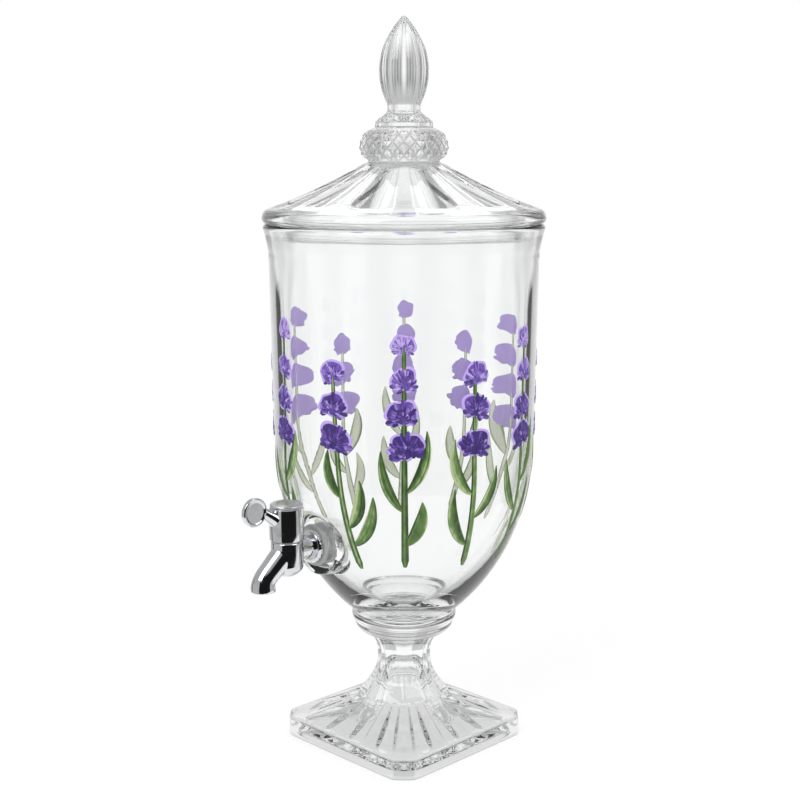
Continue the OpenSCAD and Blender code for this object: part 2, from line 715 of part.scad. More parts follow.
module handle_cap() color(chrome) to_front() at_barrel() rotate_extrude()
    let (top = hub_top + cap_ring_h, ring_out = cap_r - cap_ring_w - cap_fillet)
    polygon([[0, ledge_z], [cap_r - fit, ledge_z], [cap_r - fit, hub_top],
        [ring_out + cap_fillet, hub_top + cap_fillet], [ring_out, top - cap_fillet],
        [ring_out - cap_fillet, top], [ring_out - cap_fillet - cap_ring_w, top],
        [ring_out - 2 * cap_fillet - cap_ring_w, hub_top + cap_fillet], [0, hub_top + cap_crown]]);

foot();
bond_layer();
tank();
lid();
outer_gasket();
inner_gasket();
inner_washer();
inner_nut();
tap_body();
bonnet_nut();
plug();
plug_seal_upper();
plug_seal_lower();
handle();
handle_screw();
handle_cap();
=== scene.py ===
"""Looks of a footed glass beverage dispenser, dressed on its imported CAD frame.

Sizes are millimetres in the frame of the part, and Skin turns them into Blender's metres. Heights and
reaches that the CAD model fixes are read from the frame, so that each visual piece stays on the node it
stands for.
"""

from __future__ import annotations

import logging
import math
from abc import ABC, abstractmethod
from dataclasses import dataclass
from enum import Enum
from typing import Any, Union

import bpy
import numpy as np
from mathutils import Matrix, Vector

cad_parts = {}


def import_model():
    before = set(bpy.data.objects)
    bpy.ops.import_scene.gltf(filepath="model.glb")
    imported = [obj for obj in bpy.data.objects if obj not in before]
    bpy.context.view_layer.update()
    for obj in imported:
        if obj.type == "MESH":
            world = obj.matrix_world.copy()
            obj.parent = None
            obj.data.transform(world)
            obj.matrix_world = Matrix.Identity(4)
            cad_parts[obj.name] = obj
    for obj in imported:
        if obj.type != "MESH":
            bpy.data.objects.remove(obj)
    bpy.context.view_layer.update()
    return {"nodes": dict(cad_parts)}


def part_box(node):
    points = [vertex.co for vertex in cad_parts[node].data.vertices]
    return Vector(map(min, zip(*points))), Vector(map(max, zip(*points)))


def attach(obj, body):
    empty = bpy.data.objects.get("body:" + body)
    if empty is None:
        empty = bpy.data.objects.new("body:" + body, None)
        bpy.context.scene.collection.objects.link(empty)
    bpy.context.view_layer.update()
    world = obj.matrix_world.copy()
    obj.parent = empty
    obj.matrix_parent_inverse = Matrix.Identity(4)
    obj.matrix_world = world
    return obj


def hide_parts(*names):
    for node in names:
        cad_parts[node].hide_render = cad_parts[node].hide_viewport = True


LOG = logging.getLogger("dispenser")
# Metres in a millimetre
MM = 0.001
FULL_TURN = 360.0
# Angle from which ribs, flutes and studs are set out, and the side that the tap is on
RIB_AT = 45.0
TAP_AT = 270.0
# Radius at which a turned profile leaves its axis
AXIS_R = 0.4
WHITE = (1.0, 1.0, 1.0, 1.0)

Array = np.ndarray
Colour = tuple[float, float, float]
Span = tuple[float, float]


class Body(str, Enum):
    """CAD bodies that the pieces ride on."""

    VESSEL = "vessel"
    LID = "lid"
    HANDLE = "tap_handle"


class Slot(str, Enum):
    """Material slots of the record, which visual pieces name."""

    GLASS = "clear_glass"
    ADHESIVE = "adhesive"
    SILICONE = "grey_silicone"
    PLASTIC = "white_plastic"
    CHROME = "bright_chrome"


# Shaders


class Sock:
    """Output of a node that can be written into formulas.

    Args:
        graph: Node tree that holds the socket.
        socket: The output itself.
    """

    def __init__(self, graph: Graph, socket: bpy.types.NodeSocket | None) -> None:
        """Keeps the output and its tree."""
        self.graph = graph
        self.socket = socket

    def _math(self, operation: str, first: Operand, second: Operand = 0.0) -> Sock:
        """One Math node on two operands."""
        return self.graph.node("ShaderNodeMath", {"operation": operation}, {0: first, 1: second})

    def __add__(self, other: Operand) -> Sock:
        """Sum with another value."""
        return self._math("ADD", self, other)

    __radd__ = __add__

    def __sub__(self, other: Operand) -> Sock:
        """This value less another."""
        return self._math("SUBTRACT", self, other)

    def __rsub__(self, other: Operand) -> Sock:
        """Another value less this one."""
        return self._math("SUBTRACT", other, self)

    def __mul__(self, other: Operand) -> Sock:
        """Product with another value."""
        return self._math("MULTIPLY", self, other)

    __rmul__ = __mul__

    def cosine(self) -> Sock:
        """Cosine of the value in radians."""
        return self._math("COSINE", self)

    def step(self, low: float, high: float) -> Sock:
        """Smooth step from 0 at low to 1 at high."""
        settings = {"interpolation_type": "SMOOTHSTEP"}
        return self.graph.node("ShaderNodeMapRange", settings, {0: self, 1: low, 2: high, 3: 0.0, 4: 1.0})

    def between(self, low: float, high: float) -> Sock:
        """Value that goes from low to high as this one goes from 0 to 1."""
        return low + (high - low) * self

    def toward(self, other: Operand, share: Operand) -> Sock:
        """Value moved towards another by a share."""
        return self + (other - self) * share


Operand = Union[Sock, float]


class Graph:
    """Node tree of one material or of the world.

    Args:
        tree: Blender's node tree, emptied first.
    """

    def __init__(self, tree: bpy.types.NodeTree) -> None:
        """Takes the tree over and clears it."""
        self.tree = tree
        tree.nodes.clear()

    def node(
        self,
        kind: str,
        settings: dict[str, Any] | None = None,
        inputs: dict[int | str, Any] | None = None,
        out: int | str = 0,
    ) -> Sock:
        """Adds a node, with its settings first and then its sockets.

        Args:
            kind: Blender's type name of the node.
            settings: Attributes of the node.
            inputs: Values or links by socket name or number.
            out: Name or number of the output that is returned.

        Returns:
            The chosen output.
        """
        made = self.tree.nodes.new(kind)
        for name, value in (settings or {}).items():
            setattr(made, name, value)
        for key, value in (inputs or {}).items():
            if isinstance(value, Sock):
                self.tree.links.new(value.socket, made.inputs[key])
            else:
                made.inputs[key].default_value = value
        return Sock(self, made.outputs[out] if made.outputs else None)

    def blend(self, share: Operand, low: Any, high: Any) -> Sock:
        """Mixes two colours.

        Args:
            share: 0 for the first colour and 1 for the second.
            low: First colour, as a link or as plain values.
            high: Second colour.

        Returns:
            The mixed colour.
        """
        ends = [c if isinstance(c, Sock) else (*c, 1.0) for c in (low, high)]
        settings = {"data_type": "RGBA", "clamp_factor": True}
        return self.node("ShaderNodeMix", settings, {0: share, 6: ends[0], 7: ends[1]}, out=2)

    def noise(self, scale: float, detail: float, stretch: Colour = (1.0, 1.0, 1.0)) -> Sock:
        """Noise over the object's own coordinates.

        Args:
            scale: Its frequency in a metre.
            detail: Number of octaves.
            stretch: Factors on the coordinates.

        Returns:
            Values from 0 to 1.
        """
        at = self.node("ShaderNodeTexCoord", out="Object")
        at = self.node("ShaderNodeVectorMath", {"operation": "MULTIPLY"}, {0: at, 1: stretch})
        return self.node("ShaderNodeTexNoise", inputs={"Vector": at, "Scale": scale, "Detail": detail})

    def bump(self, height: Sock, distance: float) -> Sock:
        """Normal of a relief that is distance metres high."""
        return self.node("ShaderNodeBump", inputs={"Strength": 1.0, "Distance": distance, "Height": height})

    def tone(self) -> Sock:
        """Tone attribute of the mesh."""
        return self.node("ShaderNodeAttribute", {"attribute_name": "tone"}, out="Fac")

    def ray(self, output: str) -> Sock:
        """One output of Light Path."""
        return self.node("ShaderNodeLightPath", out=output)


class Finish(ABC):
    """A procedural material. Each kind of finish fills the sockets of one Principled shader."""

    name: str

    @abstractmethod
    def sockets(self, graph: Graph) -> dict[str, Any]:
        """Values and links of the Principled shader."""

    def material(self) -> bpy.types.Material:
        """Makes the material on first use.

        Returns:
            The finish as a Blender material.
        """
        title = f"finish_{self.name}"
        found = bpy.data.materials.get(title)
        if found:
            return found
        made = bpy.data.materials.new(title)
        made.use_nodes = True
        graph = Graph(made.node_tree)
        shader = graph.node("ShaderNodeBsdfPrincipled", inputs=self.sockets(graph))
        graph.node("ShaderNodeOutputMaterial", inputs={"Surface": shader})
        return made


@dataclass(frozen=True)
class PressedGlass(Finish):
    """Clear pressed glass with a faint ripple, a trace of handling marks, and painted shade where its tone
    rises: grey that stands in for the dark surroundings its edges show.
    """

    name: str = "clear_glass"
    tint: Colour = (0.985, 0.992, 0.99)
    # Grey of the painted shade, mixed into the colour where the tone rises
    edge: Colour = (0.42, 0.43, 0.43)
    ior: float = 1.5
    ripple_scale: float = 55.0
    ripple: float = 0.00002
    haze: float = 0.006
    scatter: float = 0.0
    mark_scale: float = 120.0
    mark_edge: Span = (0.55, 0.8)

    def sockets(self, graph: Graph) -> dict[str, Any]:
        """Transmission with a rippled normal, and painted shade in its colour where the tone rises.

        Args:
            graph: Node tree of the material.

        Returns:
            Values and links by socket name.
        """
        marks = graph.noise(self.mark_scale, 4.0).step(*self.mark_edge)
        return {
            # Base Color holds painted shade: the tone blends the clear tint towards the edge grey
            "Base Color": graph.blend(graph.tone(), self.tint, self.edge),
            "Transmission Weight": 1.0 - self.scatter,
            "IOR": self.ior,
            "Roughness": marks * self.haze,
            "Normal": graph.bump(graph.noise(self.ripple_scale, 1.0), self.ripple),
        }


@dataclass(frozen=True)
class Plating(Finish):
    """Plated metal with fine polishing marks and fingerprints."""

    name: str = "bright_chrome"
    colour: Colour = (0.74, 0.75, 0.77)
    shade: Colour = (0.62, 0.63, 0.66)
    polish: float = 0.045
    smudge: float = 0.09
    touch_scale: float = 140.0
    touch_edge: Span = (0.5, 0.75)
    line_scale: float = 900.0
    line_stretch: Colour = (1.0, 1.0, 0.15)
    grain: float = 0.0000025

    def sockets(self, graph: Graph) -> dict[str, Any]:
        """Metal that is a little duller where it was touched.

        Args:
            graph: Node tree of the material.

        Returns:
            Values and links by socket name.
        """
        touch = graph.noise(self.touch_scale, 3.0).step(*self.touch_edge)
        lines = graph.noise(self.line_scale, 2.0, self.line_stretch)
        return {
            "Base Color": graph.blend(touch, self.colour, self.shade),
            "Metallic": 1.0,
            "Roughness": self.polish + touch * self.smudge,
            "Normal": graph.bump(lines, self.grain),
        }


@dataclass(frozen=True)
class Moulding(Finish):
    """Moulded plastic, rubber or silicone with a fine grain."""

    name: str
    colour: Colour
    shade: Colour
    gloss: float
    transmission: float = 0.0
    ior: float = 1.42
    mottle_scale: float = 160.0
    mottle_gloss: float = 0.12
    grain_scale: float = 1400.0
    grain: float = 0.00001

    def sockets(self, graph: Graph) -> dict[str, Any]:
        """Dielectric with mottled colour and a matt grain.

        Args:
            graph: Node tree of the material.

        Returns:
            Values and links by socket name.
        """
        mottle = graph.noise(self.mottle_scale, 4.0)
        grain = graph.noise(self.grain_scale, 2.0)
        return {
            "Base Color": graph.blend(mottle, self.colour, self.shade),
            "Roughness": self.gloss + self.mottle_gloss * mottle,
            "Transmission Weight": self.transmission,
            "IOR": self.ior,
            "Normal": graph.bump(grain, self.grain),
        }


@dataclass(frozen=True)
class Enamel(Finish):
    """Brushed enamel paint whose colour runs from dark to pale with the tone of its mesh.

    A tone past undercoat_edge stands for the coat that was laid first and shows through the glass.
    """

    name: str
    dark: Colour
    middle: Colour
    pale: Colour
    undercoat: Colour
    brush_scale: float = 420.0
    brush_stretch: Colour = (1.0, 1.0, 0.35)
    brush_weight: float = 0.9
    fleck_scale: float = 168.0
    fleck_weight: float = 0.4
    to_middle: Span = (0.0, 0.55)
    to_pale: Span = (0.5, 1.0)
    undercoat_edge: Span = (1.2, 1.9)
    gloss: float = 0.38
    brush_gloss: float = 0.25
    relief: float = 0.00015

    def sockets(self, graph: Graph) -> dict[str, Any]:
        """Three colours with brush marks, an undercoat towards the glass, and a satin skin.

        Args:
            graph: Node tree of the material.

        Returns:
            Values and links by socket name.
        """
        tone = graph.tone()
        brush = graph.noise(self.brush_scale, 4.0, self.brush_stretch)
        fleck = graph.noise(self.fleck_scale, 3.0)
        level = tone + (brush - 0.5) * self.brush_weight + (fleck - 0.5) * self.fleck_weight
        low = graph.blend(level.step(*self.to_middle), self.dark, self.middle)
        face = graph.blend(level.step(*self.to_pale), low, self.pale)
        return {
            "Base Color": graph.blend(tone.step(*self.undercoat_edge), face, self.undercoat),
            "Roughness": self.gloss + self.brush_gloss * brush,
            "Normal": graph.bump(brush, self.relief),
        }


GLASS = PressedGlass()
# The foot's and the lid's tone carries painted shade; the lid's painted shade is the darker grey
FOOT_GLASS = PressedGlass("foot_glass", ripple_scale=150.0, ripple=0.00006)
LID_GLASS = PressedGlass("lid_glass", edge=(0.14, 0.14, 0.145), scatter=0.03)
FILM = PressedGlass(
    "adhesive", tint=(0.96, 0.97, 0.965), edge=(0.96, 0.97, 0.965), ior=1.47, ripple_scale=260.0, haze=0.12
)
CHROME = Plating()
SATIN = Plating("satin_chrome", polish=0.3)
STEEL = Plating("screw_steel", colour=(0.5, 0.5, 0.5), shade=(0.36, 0.36, 0.37), polish=0.22, smudge=0.2)
SILICONE = Moulding("grey_silicone", (0.5, 0.51, 0.51), (0.42, 0.43, 0.43), gloss=0.3, transmission=0.25)
PLASTIC = Moulding("white_plastic", (0.82, 0.82, 0.8), (0.74, 0.74, 0.72), gloss=0.3)
RUBBER = Moulding("black_rubber", (0.02, 0.02, 0.022), (0.035, 0.035, 0.037), gloss=0.55)
PETAL = Enamel(
    "petal_enamel",
    dark=(0.04, 0.016, 0.16),
    middle=(0.15, 0.078, 0.42),
    pale=(0.5, 0.38, 0.74),
    undercoat=(0.5, 0.36, 0.82),
)
LEAF = Enamel(
    "leaf_enamel",
    dark=(0.022, 0.06, 0.01),
    middle=(0.1, 0.2, 0.045),
    pale=(0.42, 0.52, 0.26),
    undercoat=(0.82, 0.86, 0.7),
)


# Meshes


def smooth(low: float, high: float, at: Array) -> Array:
    """Smooth step from 0 at low to 1 at high."""
    t = np.clip((at - low) / (high - low), 0.0, 1.0)
    return t * t * (3.0 - 2.0 * t)


def band(rise: Span, fall: Span, at: Array) -> Array:
    """Smooth band: 0, then 1 after the rise, then 0 again after the fall."""
    return smooth(*rise, at) * (1.0 - smooth(*fall, at))


def pairs(first: Any, second: Any) -> Array:
    """Profile points from their two coordinates."""
    return np.stack(np.broadcast_arrays(first, second), axis=-1)


def arc(centre: Span, radius: float, start: float, stop: float, steps: int) -> Array:
    """Points of an arc in a profile, with its angles in degrees."""
    a = np.radians(np.linspace(start, stop, steps + 1))
    return pairs(centre[0] + radius * np.cos(a), centre[1] + radius * np.sin(a))


def rounded(points: Any, rounds: int = 2) -> Array:
    """Cuts the corners of an open line round.

    Args:
        points: The line, whose ends are kept.
        rounds: How often each corner is cut.

    Returns:
        The rounded line.
    """
    line = np.asarray(points, float)
    for _ in range(rounds):
        a, b = line[:-1], line[1:]
        cut = np.stack([0.75 * a + 0.25 * b, 0.25 * a + 0.75 * b], axis=1).reshape(-1, line.shape[1])
        line = np.concatenate([line[:1], cut[1:-1], line[-1:]])
    return line


def rows(*parts: Any) -> Array:
    """Several runs of profile points as one."""
    return np.concatenate([np.asarray(p, float).reshape(-1, 2) for p in parts])


def beside(r: float, z: float, steps: Any) -> Array:
    """Profile points given by their steps from one place."""
    return np.add((r, z), steps)


def ring_angles(count: int, *finer: tuple[float, float, float]) -> Array:
    """Angles round the axis in degrees.

    Args:
        count: Number of even steps.
        finer: Runs with closer steps, each as its centre, half width and step.

    Returns:
        Sorted angles without near doubles.
    """
    least_step = 0.04
    runs = [np.arange(count) * FULL_TURN / count]
    for centre, half, step in finer:
        runs.append((centre + np.arange(-half, half + step / 2, step)) % FULL_TURN)
    angles = np.sort(np.concatenate(runs))
    return angles[np.append(np.diff(angles) > least_step, True)]


def polar(reach: Any, angles: Array, height: Any) -> Array:
    """Rings from reaches and heights, which may change round the axis."""
    reach, height, a = np.broadcast_arrays(reach, height, np.radians(angles))
    return np.stack([reach * np.cos(a), reach * np.sin(a), height], axis=-1)


def turned(profile: Array, angles: Array) -> Array:
    """Rings of a profile of radius and height, turned about the upright axis."""
    return polar(profile[:, :1], angles, profile[:, 1:])


def sided(angles: Array, faces: dict[float, float], sharp: float) -> Array:
    """Reach of a many-sided outline with slightly rounded corners.

    Args:
        angles: Angles round the axis in degrees.
        faces: Distance of each flat from the axis, by the angle it faces.
        sharp: Power of the norm that joins the flats; more is crisper.

    Returns:
        Distance from the axis at each angle.
    """
    total = np.zeros(len(angles))
    for facing, distance in faces.items():
        total += np.maximum(np.cos(np.radians(angles - facing)) / distance, 0.0) ** sharp
    return total ** (-1.0 / sharp)


def regular(angles: Array, sides: int, corner_at: float, sharp: float) -> Array:
    """Reach of a regular outline whose corners have a radius of about one."""
    flat = math.cos(math.pi / sides)
    return sided(angles, {corner_at + (k + 0.5) * FULL_TURN / sides: flat for k in range(sides)}, sharp)


def to_front(points: Array) -> Array:
    """Points drawn outwards along +X, turned to the tap's side at -Y."""
    return np.stack([points[..., 1], -points[..., 0], points[..., 2]], axis=-1)


def lying(rings: Array, z: float) -> Array:
    """Rings about the upright axis, laid down to point to the tap's side at height z."""
    return to_front(rings[..., [2, 0, 1]] + (0.0, 0.0, z))


def heading(line: Array) -> Array:
    """Unit vector along a line at each of its points."""
    ahead = np.gradient(line, axis=0)
    return ahead / np.linalg.norm(ahead, axis=1, keepdims=True)


def swept(line: Array, radius: Array, flat: Any = 1.0) -> Array:
    """Round bar that follows a line in the upright plane through the tap.

    Args:
        line: Distance from the urn's axis and height of each point.
        radius: Radius at each point.
        flat: Its width sideways against its height, as one value or by point.

    Returns:
        Rings at the tap's side of the urn.
    """
    ahead, a = heading(line), np.radians(ring_angles(72))
    across, up = np.sin(a) * radius[:, None], np.cos(a) * radius[:, None]
    x, z = line[:, :1] - ahead[:, 1:] * up, line[:, 1:] + ahead[:, :1] * up
    return to_front(np.stack([x, across * np.reshape(flat, (-1, 1)), z], axis=-1))


class Skin:
    """Closed shells that become the mesh of one piece."""

    def __init__(self) -> None:
        """Starts without a shell."""
        self.points: list[Array] = []
        self.faces: list[Array] = []
        self.tones: list[Array] = []
        self.count = 0

    def loft(self, rings: Array, loop: bool = False, tone: Any = 0.0) -> Skin:
        """Adds a shell through rings of equal count, with its faces outwards.

        Args:
            rings: Points by ring and by place in the ring.
            loop: Joins the last ring to the first; otherwise both ends are closed by a fan.
            tone: The piece's tone attribute on this shell, as one value or by ring and place.

        Returns:
            This skin.
        """
        m, n = rings.shape[:2]
        i = np.arange(n)
        k = (i + 1) % n
        start = np.arange(m if loop else m - 1)[:, None] * n
        after = (start + n) % (m * n)
        quads = np.stack([start + i, start + k, after + k, after + i], axis=-1).reshape(-1, 4)
        points, fans = rings.reshape(-1, 3), np.zeros((0, 3), int)
        tones = np.broadcast_to(np.asarray(tone, float), (m, n))
        flat = tones.reshape(-1)
        if not loop:
            points = np.concatenate([points, rings[:1].mean(1), rings[-1:].mean(1)])
            flat = np.concatenate([flat, tones[:1].mean(1), tones[-1:].mean(1)])
            low = np.stack([np.full(n, m * n), k, i], axis=-1)
            high = np.stack([np.full(n, m * n + 1), (m - 1) * n + i, (m - 1) * n + k], axis=-1)
            fans = np.concatenate([low, high])
        parts = np.concatenate([quads[:, [0, 1, 2]], quads[:, [0, 2, 3]], fans])
        corners = points[parts] - points.mean(0)
        if np.einsum("ij,ij->i", corners[:, 0], np.cross(corners[:, 1], corners[:, 2])).sum() < 0:
            quads, fans = quads[:, ::-1], fans[:, ::-1]
        self.points.append(points)
        self.tones.append(flat)
        self.faces += [quads + self.count, fans + self.count]
        self.count += len(points)
        return self

    def mesh(self, name: str) -> bpy.types.Object:
        """Makes the shells into one mesh in metres.

        Args:
            name: Name of mesh and object.

        Returns:
            The object, linked to the scene.
        """
        data = bpy.data.meshes.new(name)
        faces = [row for part in self.faces for row in part.tolist()]
        data.from_pydata((np.concatenate(self.points) * MM).tolist(), [], faces)
        data.attributes.new("tone", "FLOAT", "POINT").data.foreach_set("value", np.concatenate(self.tones))
        made = bpy.data.objects.new(name, data)
        bpy.context.scene.collection.objects.link(made)
        return made


@dataclass
class Piece:
    """One visual piece: its name, finish, body, the CAD nodes it stands for, its slot and its sharp angle."""

    name: str
    finish: Finish
    body: Body
    replaces: tuple[str, ...] = ()
    slot: Slot | None = None
    sharp: float = 40.0

    def place(self, made: bpy.types.Object) -> None:
        """Dresses a mesh and lets it ride on its body.

        Args:
            made: The object with its finished mesh.
        """
        data = made.data
        data.materials.clear()
        data.materials.append(self.finish.material())
        data.polygons.foreach_set("use_smooth", [True] * len(data.polygons))
        data.set_sharp_from_angle(angle=math.radians(self.sharp))
        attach(made, self.body.value)
        if self.replaces:
            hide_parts(*self.replaces)
        LOG.info("piece %s: %d faces on %s", self.name, len(data.polygons), self.body.value)

    def build(self, skin: Skin) -> None:
        """Makes the mesh of a skin and places it."""
        self.place(skin.mesh(self.name))


class Shaper:
    """Mesh steps that Blender's modifiers do, applied at once."""

    @staticmethod
    def apply(made: bpy.types.Object) -> None:
        """Replaces an object's mesh by its modified one.

        Args:
            made: Object with its modifiers.
        """
        graph = bpy.context.evaluated_depsgraph_get()
        before = made.data
        after = bpy.data.meshes.new_from_object(made.evaluated_get(graph))
        made.modifiers.clear()
        made.data = after
        bpy.data.meshes.remove(before)

    @staticmethod
    def cut(made: bpy.types.Object, *tools: Skin) -> None:
        """Takes the shells of each tool out of an object.

        Args:
            made: Object that is cut.
            tools: Skins to cut with, one after another.
        """
        for number, tool in enumerate(tools):
            cutter = tool.mesh(f"cutter_{number}")
            step = made.modifiers.new("cut", "BOOLEAN")
            step.operation = "DIFFERENCE"
            step.solver = "EXACT"
            step.object = cutter
            Shaper.apply(made)
            spare = cutter.data
            bpy.data.objects.remove(cutter)
            bpy.data.meshes.remove(spare)

    @staticmethod
    def fuse(made: bpy.types.Object, voxel: float, rounds: int) -> None:
        """Joins an object's shells into one skin with soft inner corners.

        Args:
            made: Object whose shells overlap.
            voxel: Size of the remesh in millimetres.
            rounds: How often the skin is smoothed.
        """
        skin = made.modifiers.new("skin", "REMESH")
        skin.mode = "VOXEL"
        skin.voxel_size = voxel * MM
        soften = made.modifiers.new("soften", "SMOOTH")
        soften.factor = 0.5
        soften.iterations = rounds
        Shaper.apply(made)


# Glass


@dataclass
class Tank:
    """Bowl-bottomed tank with a rounded lip and a moulded boss for the tap."""

    pad_r: float = 20.6
    pad_h: float = 1.0
    pad_edge: float = 2.0
    pad_rows: Span = (0.5, 8.0)
    collar_r: float = 30.3
    collar_h: float = 8.0
    collar_step: float = 1.5
    collar_bulge: tuple[Span, ...] = ((0.0, 10.4), (0.3, 13.0), (-0.2, 15.4))
    collar_top: float = 17.2
    bowl_r: float = 74.2
    bowl_h: float = 118.0
    bowl_power: float = 2.15
    bowl_round: float = 0.68
    wall: float = 4.0
    floor_t: float = 12.0
    floor_rise: float = 11.5
    floor_power: float = 2.4
    mouth_r: float = 76.0
    throat_power: float = 0.75
    lip_r: float = 79.0
    flare_h: float = 18.0
    flare_power: float = 1.6
    bead_r: float = 2.6
    bead_arc: Span = (8.0, 172.0)
    boss_r: float = 16.5
    boss_t: float = 8.0
    boss_fillet: float = 2.6
    boss_margin: float = 5.0
    boss_turn: Span = (20.0, 0.5)
    inner_pad_r: float = 13.8
    hole_r: float = 8.6
    hole_past: float = 4.0
    panels: int = 12
    panel_depth: float = 0.22
    panel_end: float = 25.0
    panel_over: float = 20.0
    outer_step: float = 1.6
    inner_step: float = 1.8
    boss_step: float = 0.6
    least_step: float = 0.2

    def __post_init__(self) -> None:
        """Reads the heights and the tap's place from the frame."""
        low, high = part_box("tank")
        self.foot_z, self.rim_z = low.z / MM, high.z / MM
        low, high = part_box("outer_gasket")
        self.tap_z = (low.z + high.z) / 2 / MM
        self.boss_face = -high.y / MM
        self.bowl_top = self.foot_z + self.bowl_h
        self.flare_z = self.rim_z - self.flare_h
        self.bead_z = self.rim_z - self.bead_r

    def bowl(self, z: Array, radius: float, depth: float) -> Array:
        """Radius of a bowl at a height."""
        t = np.clip((self.bowl_top - z) / depth, 0.0, 1.0)
        return radius * (1.0 - t**self.bowl_power) ** self.bowl_round

    def outside(self, z: Array) -> Array:
        """Outer radius of bowl and wall, without the boss."""
        lean = (self.mouth_r - self.bowl_r) * (z - self.bowl_top) / (self.flare_z - self.bowl_top)
        return self.bowl(z, self.bowl_r, self.bowl_h) + np.maximum(lean, 0.0)

    def heights(self, low: float, high: float, step: float) -> Array:
        """Heights of the rows of points, closer together beside the boss.

        Args:
            low: First height.
            high: Height that the rows stay under.
            step: Distance of the rows away from the boss.

        Returns:
            Rising heights.
        """
        reach = self.boss_r + self.boss_margin
        near = np.arange(self.tap_z - reach, self.tap_z + reach, self.boss_step)
        z = np.sort(np.concatenate([np.arange(low, high, step), near[(near > low) & (near < high)]]))
        return z[np.append(np.diff(z) > self.least_step, True)]

    def outer_profile(self) -> Array:
        """Outside of the glass.

        Returns:
            Profile from the middle of the pad, over collar, bowl and wall, to the lip.
        """
        z0, swell = self.foot_z, self.collar_r - self.collar_step - self.pad_r
        pad = rounded([(self.pad_r - self.pad_edge, z0), (self.pad_r, z0), (self.pad_r, z0 + self.pad_h)])
        a = np.radians(np.linspace(8, 90, 12))
        rise = z0 + self.pad_h + (self.collar_h - self.pad_h) * (1 - np.cos(a))
        under = pairs(self.pad_r + swell * np.sin(a), rise)
        z = self.heights(z0 + self.collar_top, self.bowl_top, self.outer_step)
        bulge = beside(self.collar_r, z0, self.collar_bulge)
        collar = rounded([under[-1], *bulge, (self.outside(z[0]), z[0])], 3)
        wall_z = np.linspace(self.bowl_top, self.flare_z, 34)
        t = np.linspace(0.06, 1, 14)
        flare = pairs(
            self.mouth_r + (self.lip_r - self.mouth_r) * t**self.flare_power,
            self.flare_z + (self.bead_z - self.flare_z) * t,
        )
        lip = arc((self.lip_r - self.bead_r, self.bead_z), self.bead_r, *self.bead_arc, 20)
        bowl, wall = pairs(self.outside(z), z), pairs(self.outside(wall_z), wall_z)
        return rows(pairs(self.pad_rows, z0), pad, under, collar[1:-1], bowl, wall, flare, lip)

    def inner_profile(self) -> Array:
        """Inside of the glass.

        Returns:
            Profile from the lip down to the middle of the floor.
        """
        floor_z, throat = self.foot_z + self.floor_t, self.lip_r - 2 * self.bead_r
        low_r, high_r = self.bowl_r - self.wall, self.mouth_r - self.wall
        t = np.linspace(0, 1, 16)
        mouth = pairs(
            throat + (high_r - throat) * t**self.throat_power, self.bead_z + (self.flare_z - self.bead_z) * t
        )
        t = np.linspace(0, 1, 30)[1:-1]
        wall = pairs(high_r + (low_r - high_r) * t, self.flare_z + (self.bowl_top - self.flare_z) * t)
        bowl_z = self.heights(floor_z + self.floor_t, self.bowl_top, self.inner_step)[::-1]
        floor = floor_z + self.floor_rise * np.linspace(1, 0, 26)[:-1] ** self.floor_power
        z = np.concatenate([bowl_z, floor])
        return rows(mouth, wall, pairs(self.bowl(z, low_r, self.bowl_top - floor_z), z))

    def flatten(self, rings: Array, face: float, reach: float) -> None:
        """Draws the glass round the tap's axis out or in to a flat face.

        Args:
            rings: Rings that are changed.
            face: Distance of the flat face from the urn's axis.
            reach: Radius of the flat round the tap's axis.
        """
        from_axis = np.hypot(rings[..., 0], rings[..., 2] - self.tap_z)
        share = (1.0 - smooth(reach, reach + self.boss_fillet, from_axis)) * (rings[..., 1] < 0)
        rings[..., 1] += (-face - rings[..., 1]) * share

    def build(self) -> None:
        """Makes the tank with its faint inner panels and drills it for the tap."""
        angles = ring_angles(288, (TAP_AT, *self.boss_turn))
        outer = turned(self.outer_profile(), angles)
        profile = self.inner_profile()
        wave = np.cos(np.radians(angles - RIB_AT) * self.panels)
        rise = (self.tap_z + self.panel_end, self.bowl_top + self.panel_over)
        fall = (self.flare_z - self.panel_end, self.flare_z)
        depth = self.panel_depth * band(rise, fall, profile[:, 1:])
        inner = polar(profile[:, :1] + depth * wave, angles, profile[:, 1:])
        back = self.boss_face - self.boss_t
        self.flatten(outer, self.boss_face, self.boss_r)
        self.flatten(inner, back, self.inner_pad_r)
        made = Skin().loft(np.concatenate([outer, inner])).mesh("tank_glass")
        drill = pairs(self.hole_r, (self.boss_face + self.hole_past, back - self.hole_past))
        Shaper.cut(made, Skin().loft(lying(turned(drill, ring_angles(72)), self.tap_z)))
        Piece("tank_glass", GLASS, Body.VESSEL, ("tank",), Slot.GLASS).place(made)


@dataclass(frozen=True)
class PaintedEdgeShade:
    """Painted shade on the foot: where its edges are painted grey, and how much: reaches in millimetres,
    strengths from 0 to 1.
    """

    rim: Span = (0.2, 1.6)
    foot: Span = (0.6, 1.8)
    top: Span = (0.2, 1.3)
    top_inset: float = 0.4
    top_rise: Span = (-1.6, -0.4)
    top_share: float = 0.7
    facet_turn: Span = (4.4, 5.6)
    facet_share: float = 0.6
    wall_spread: float = 0.6
    wall_share: float = 0.8
    cone_foot: Span = (1.0, 4.0)
    cone_head: float = 1.5
    cone_inset: float = 3.0


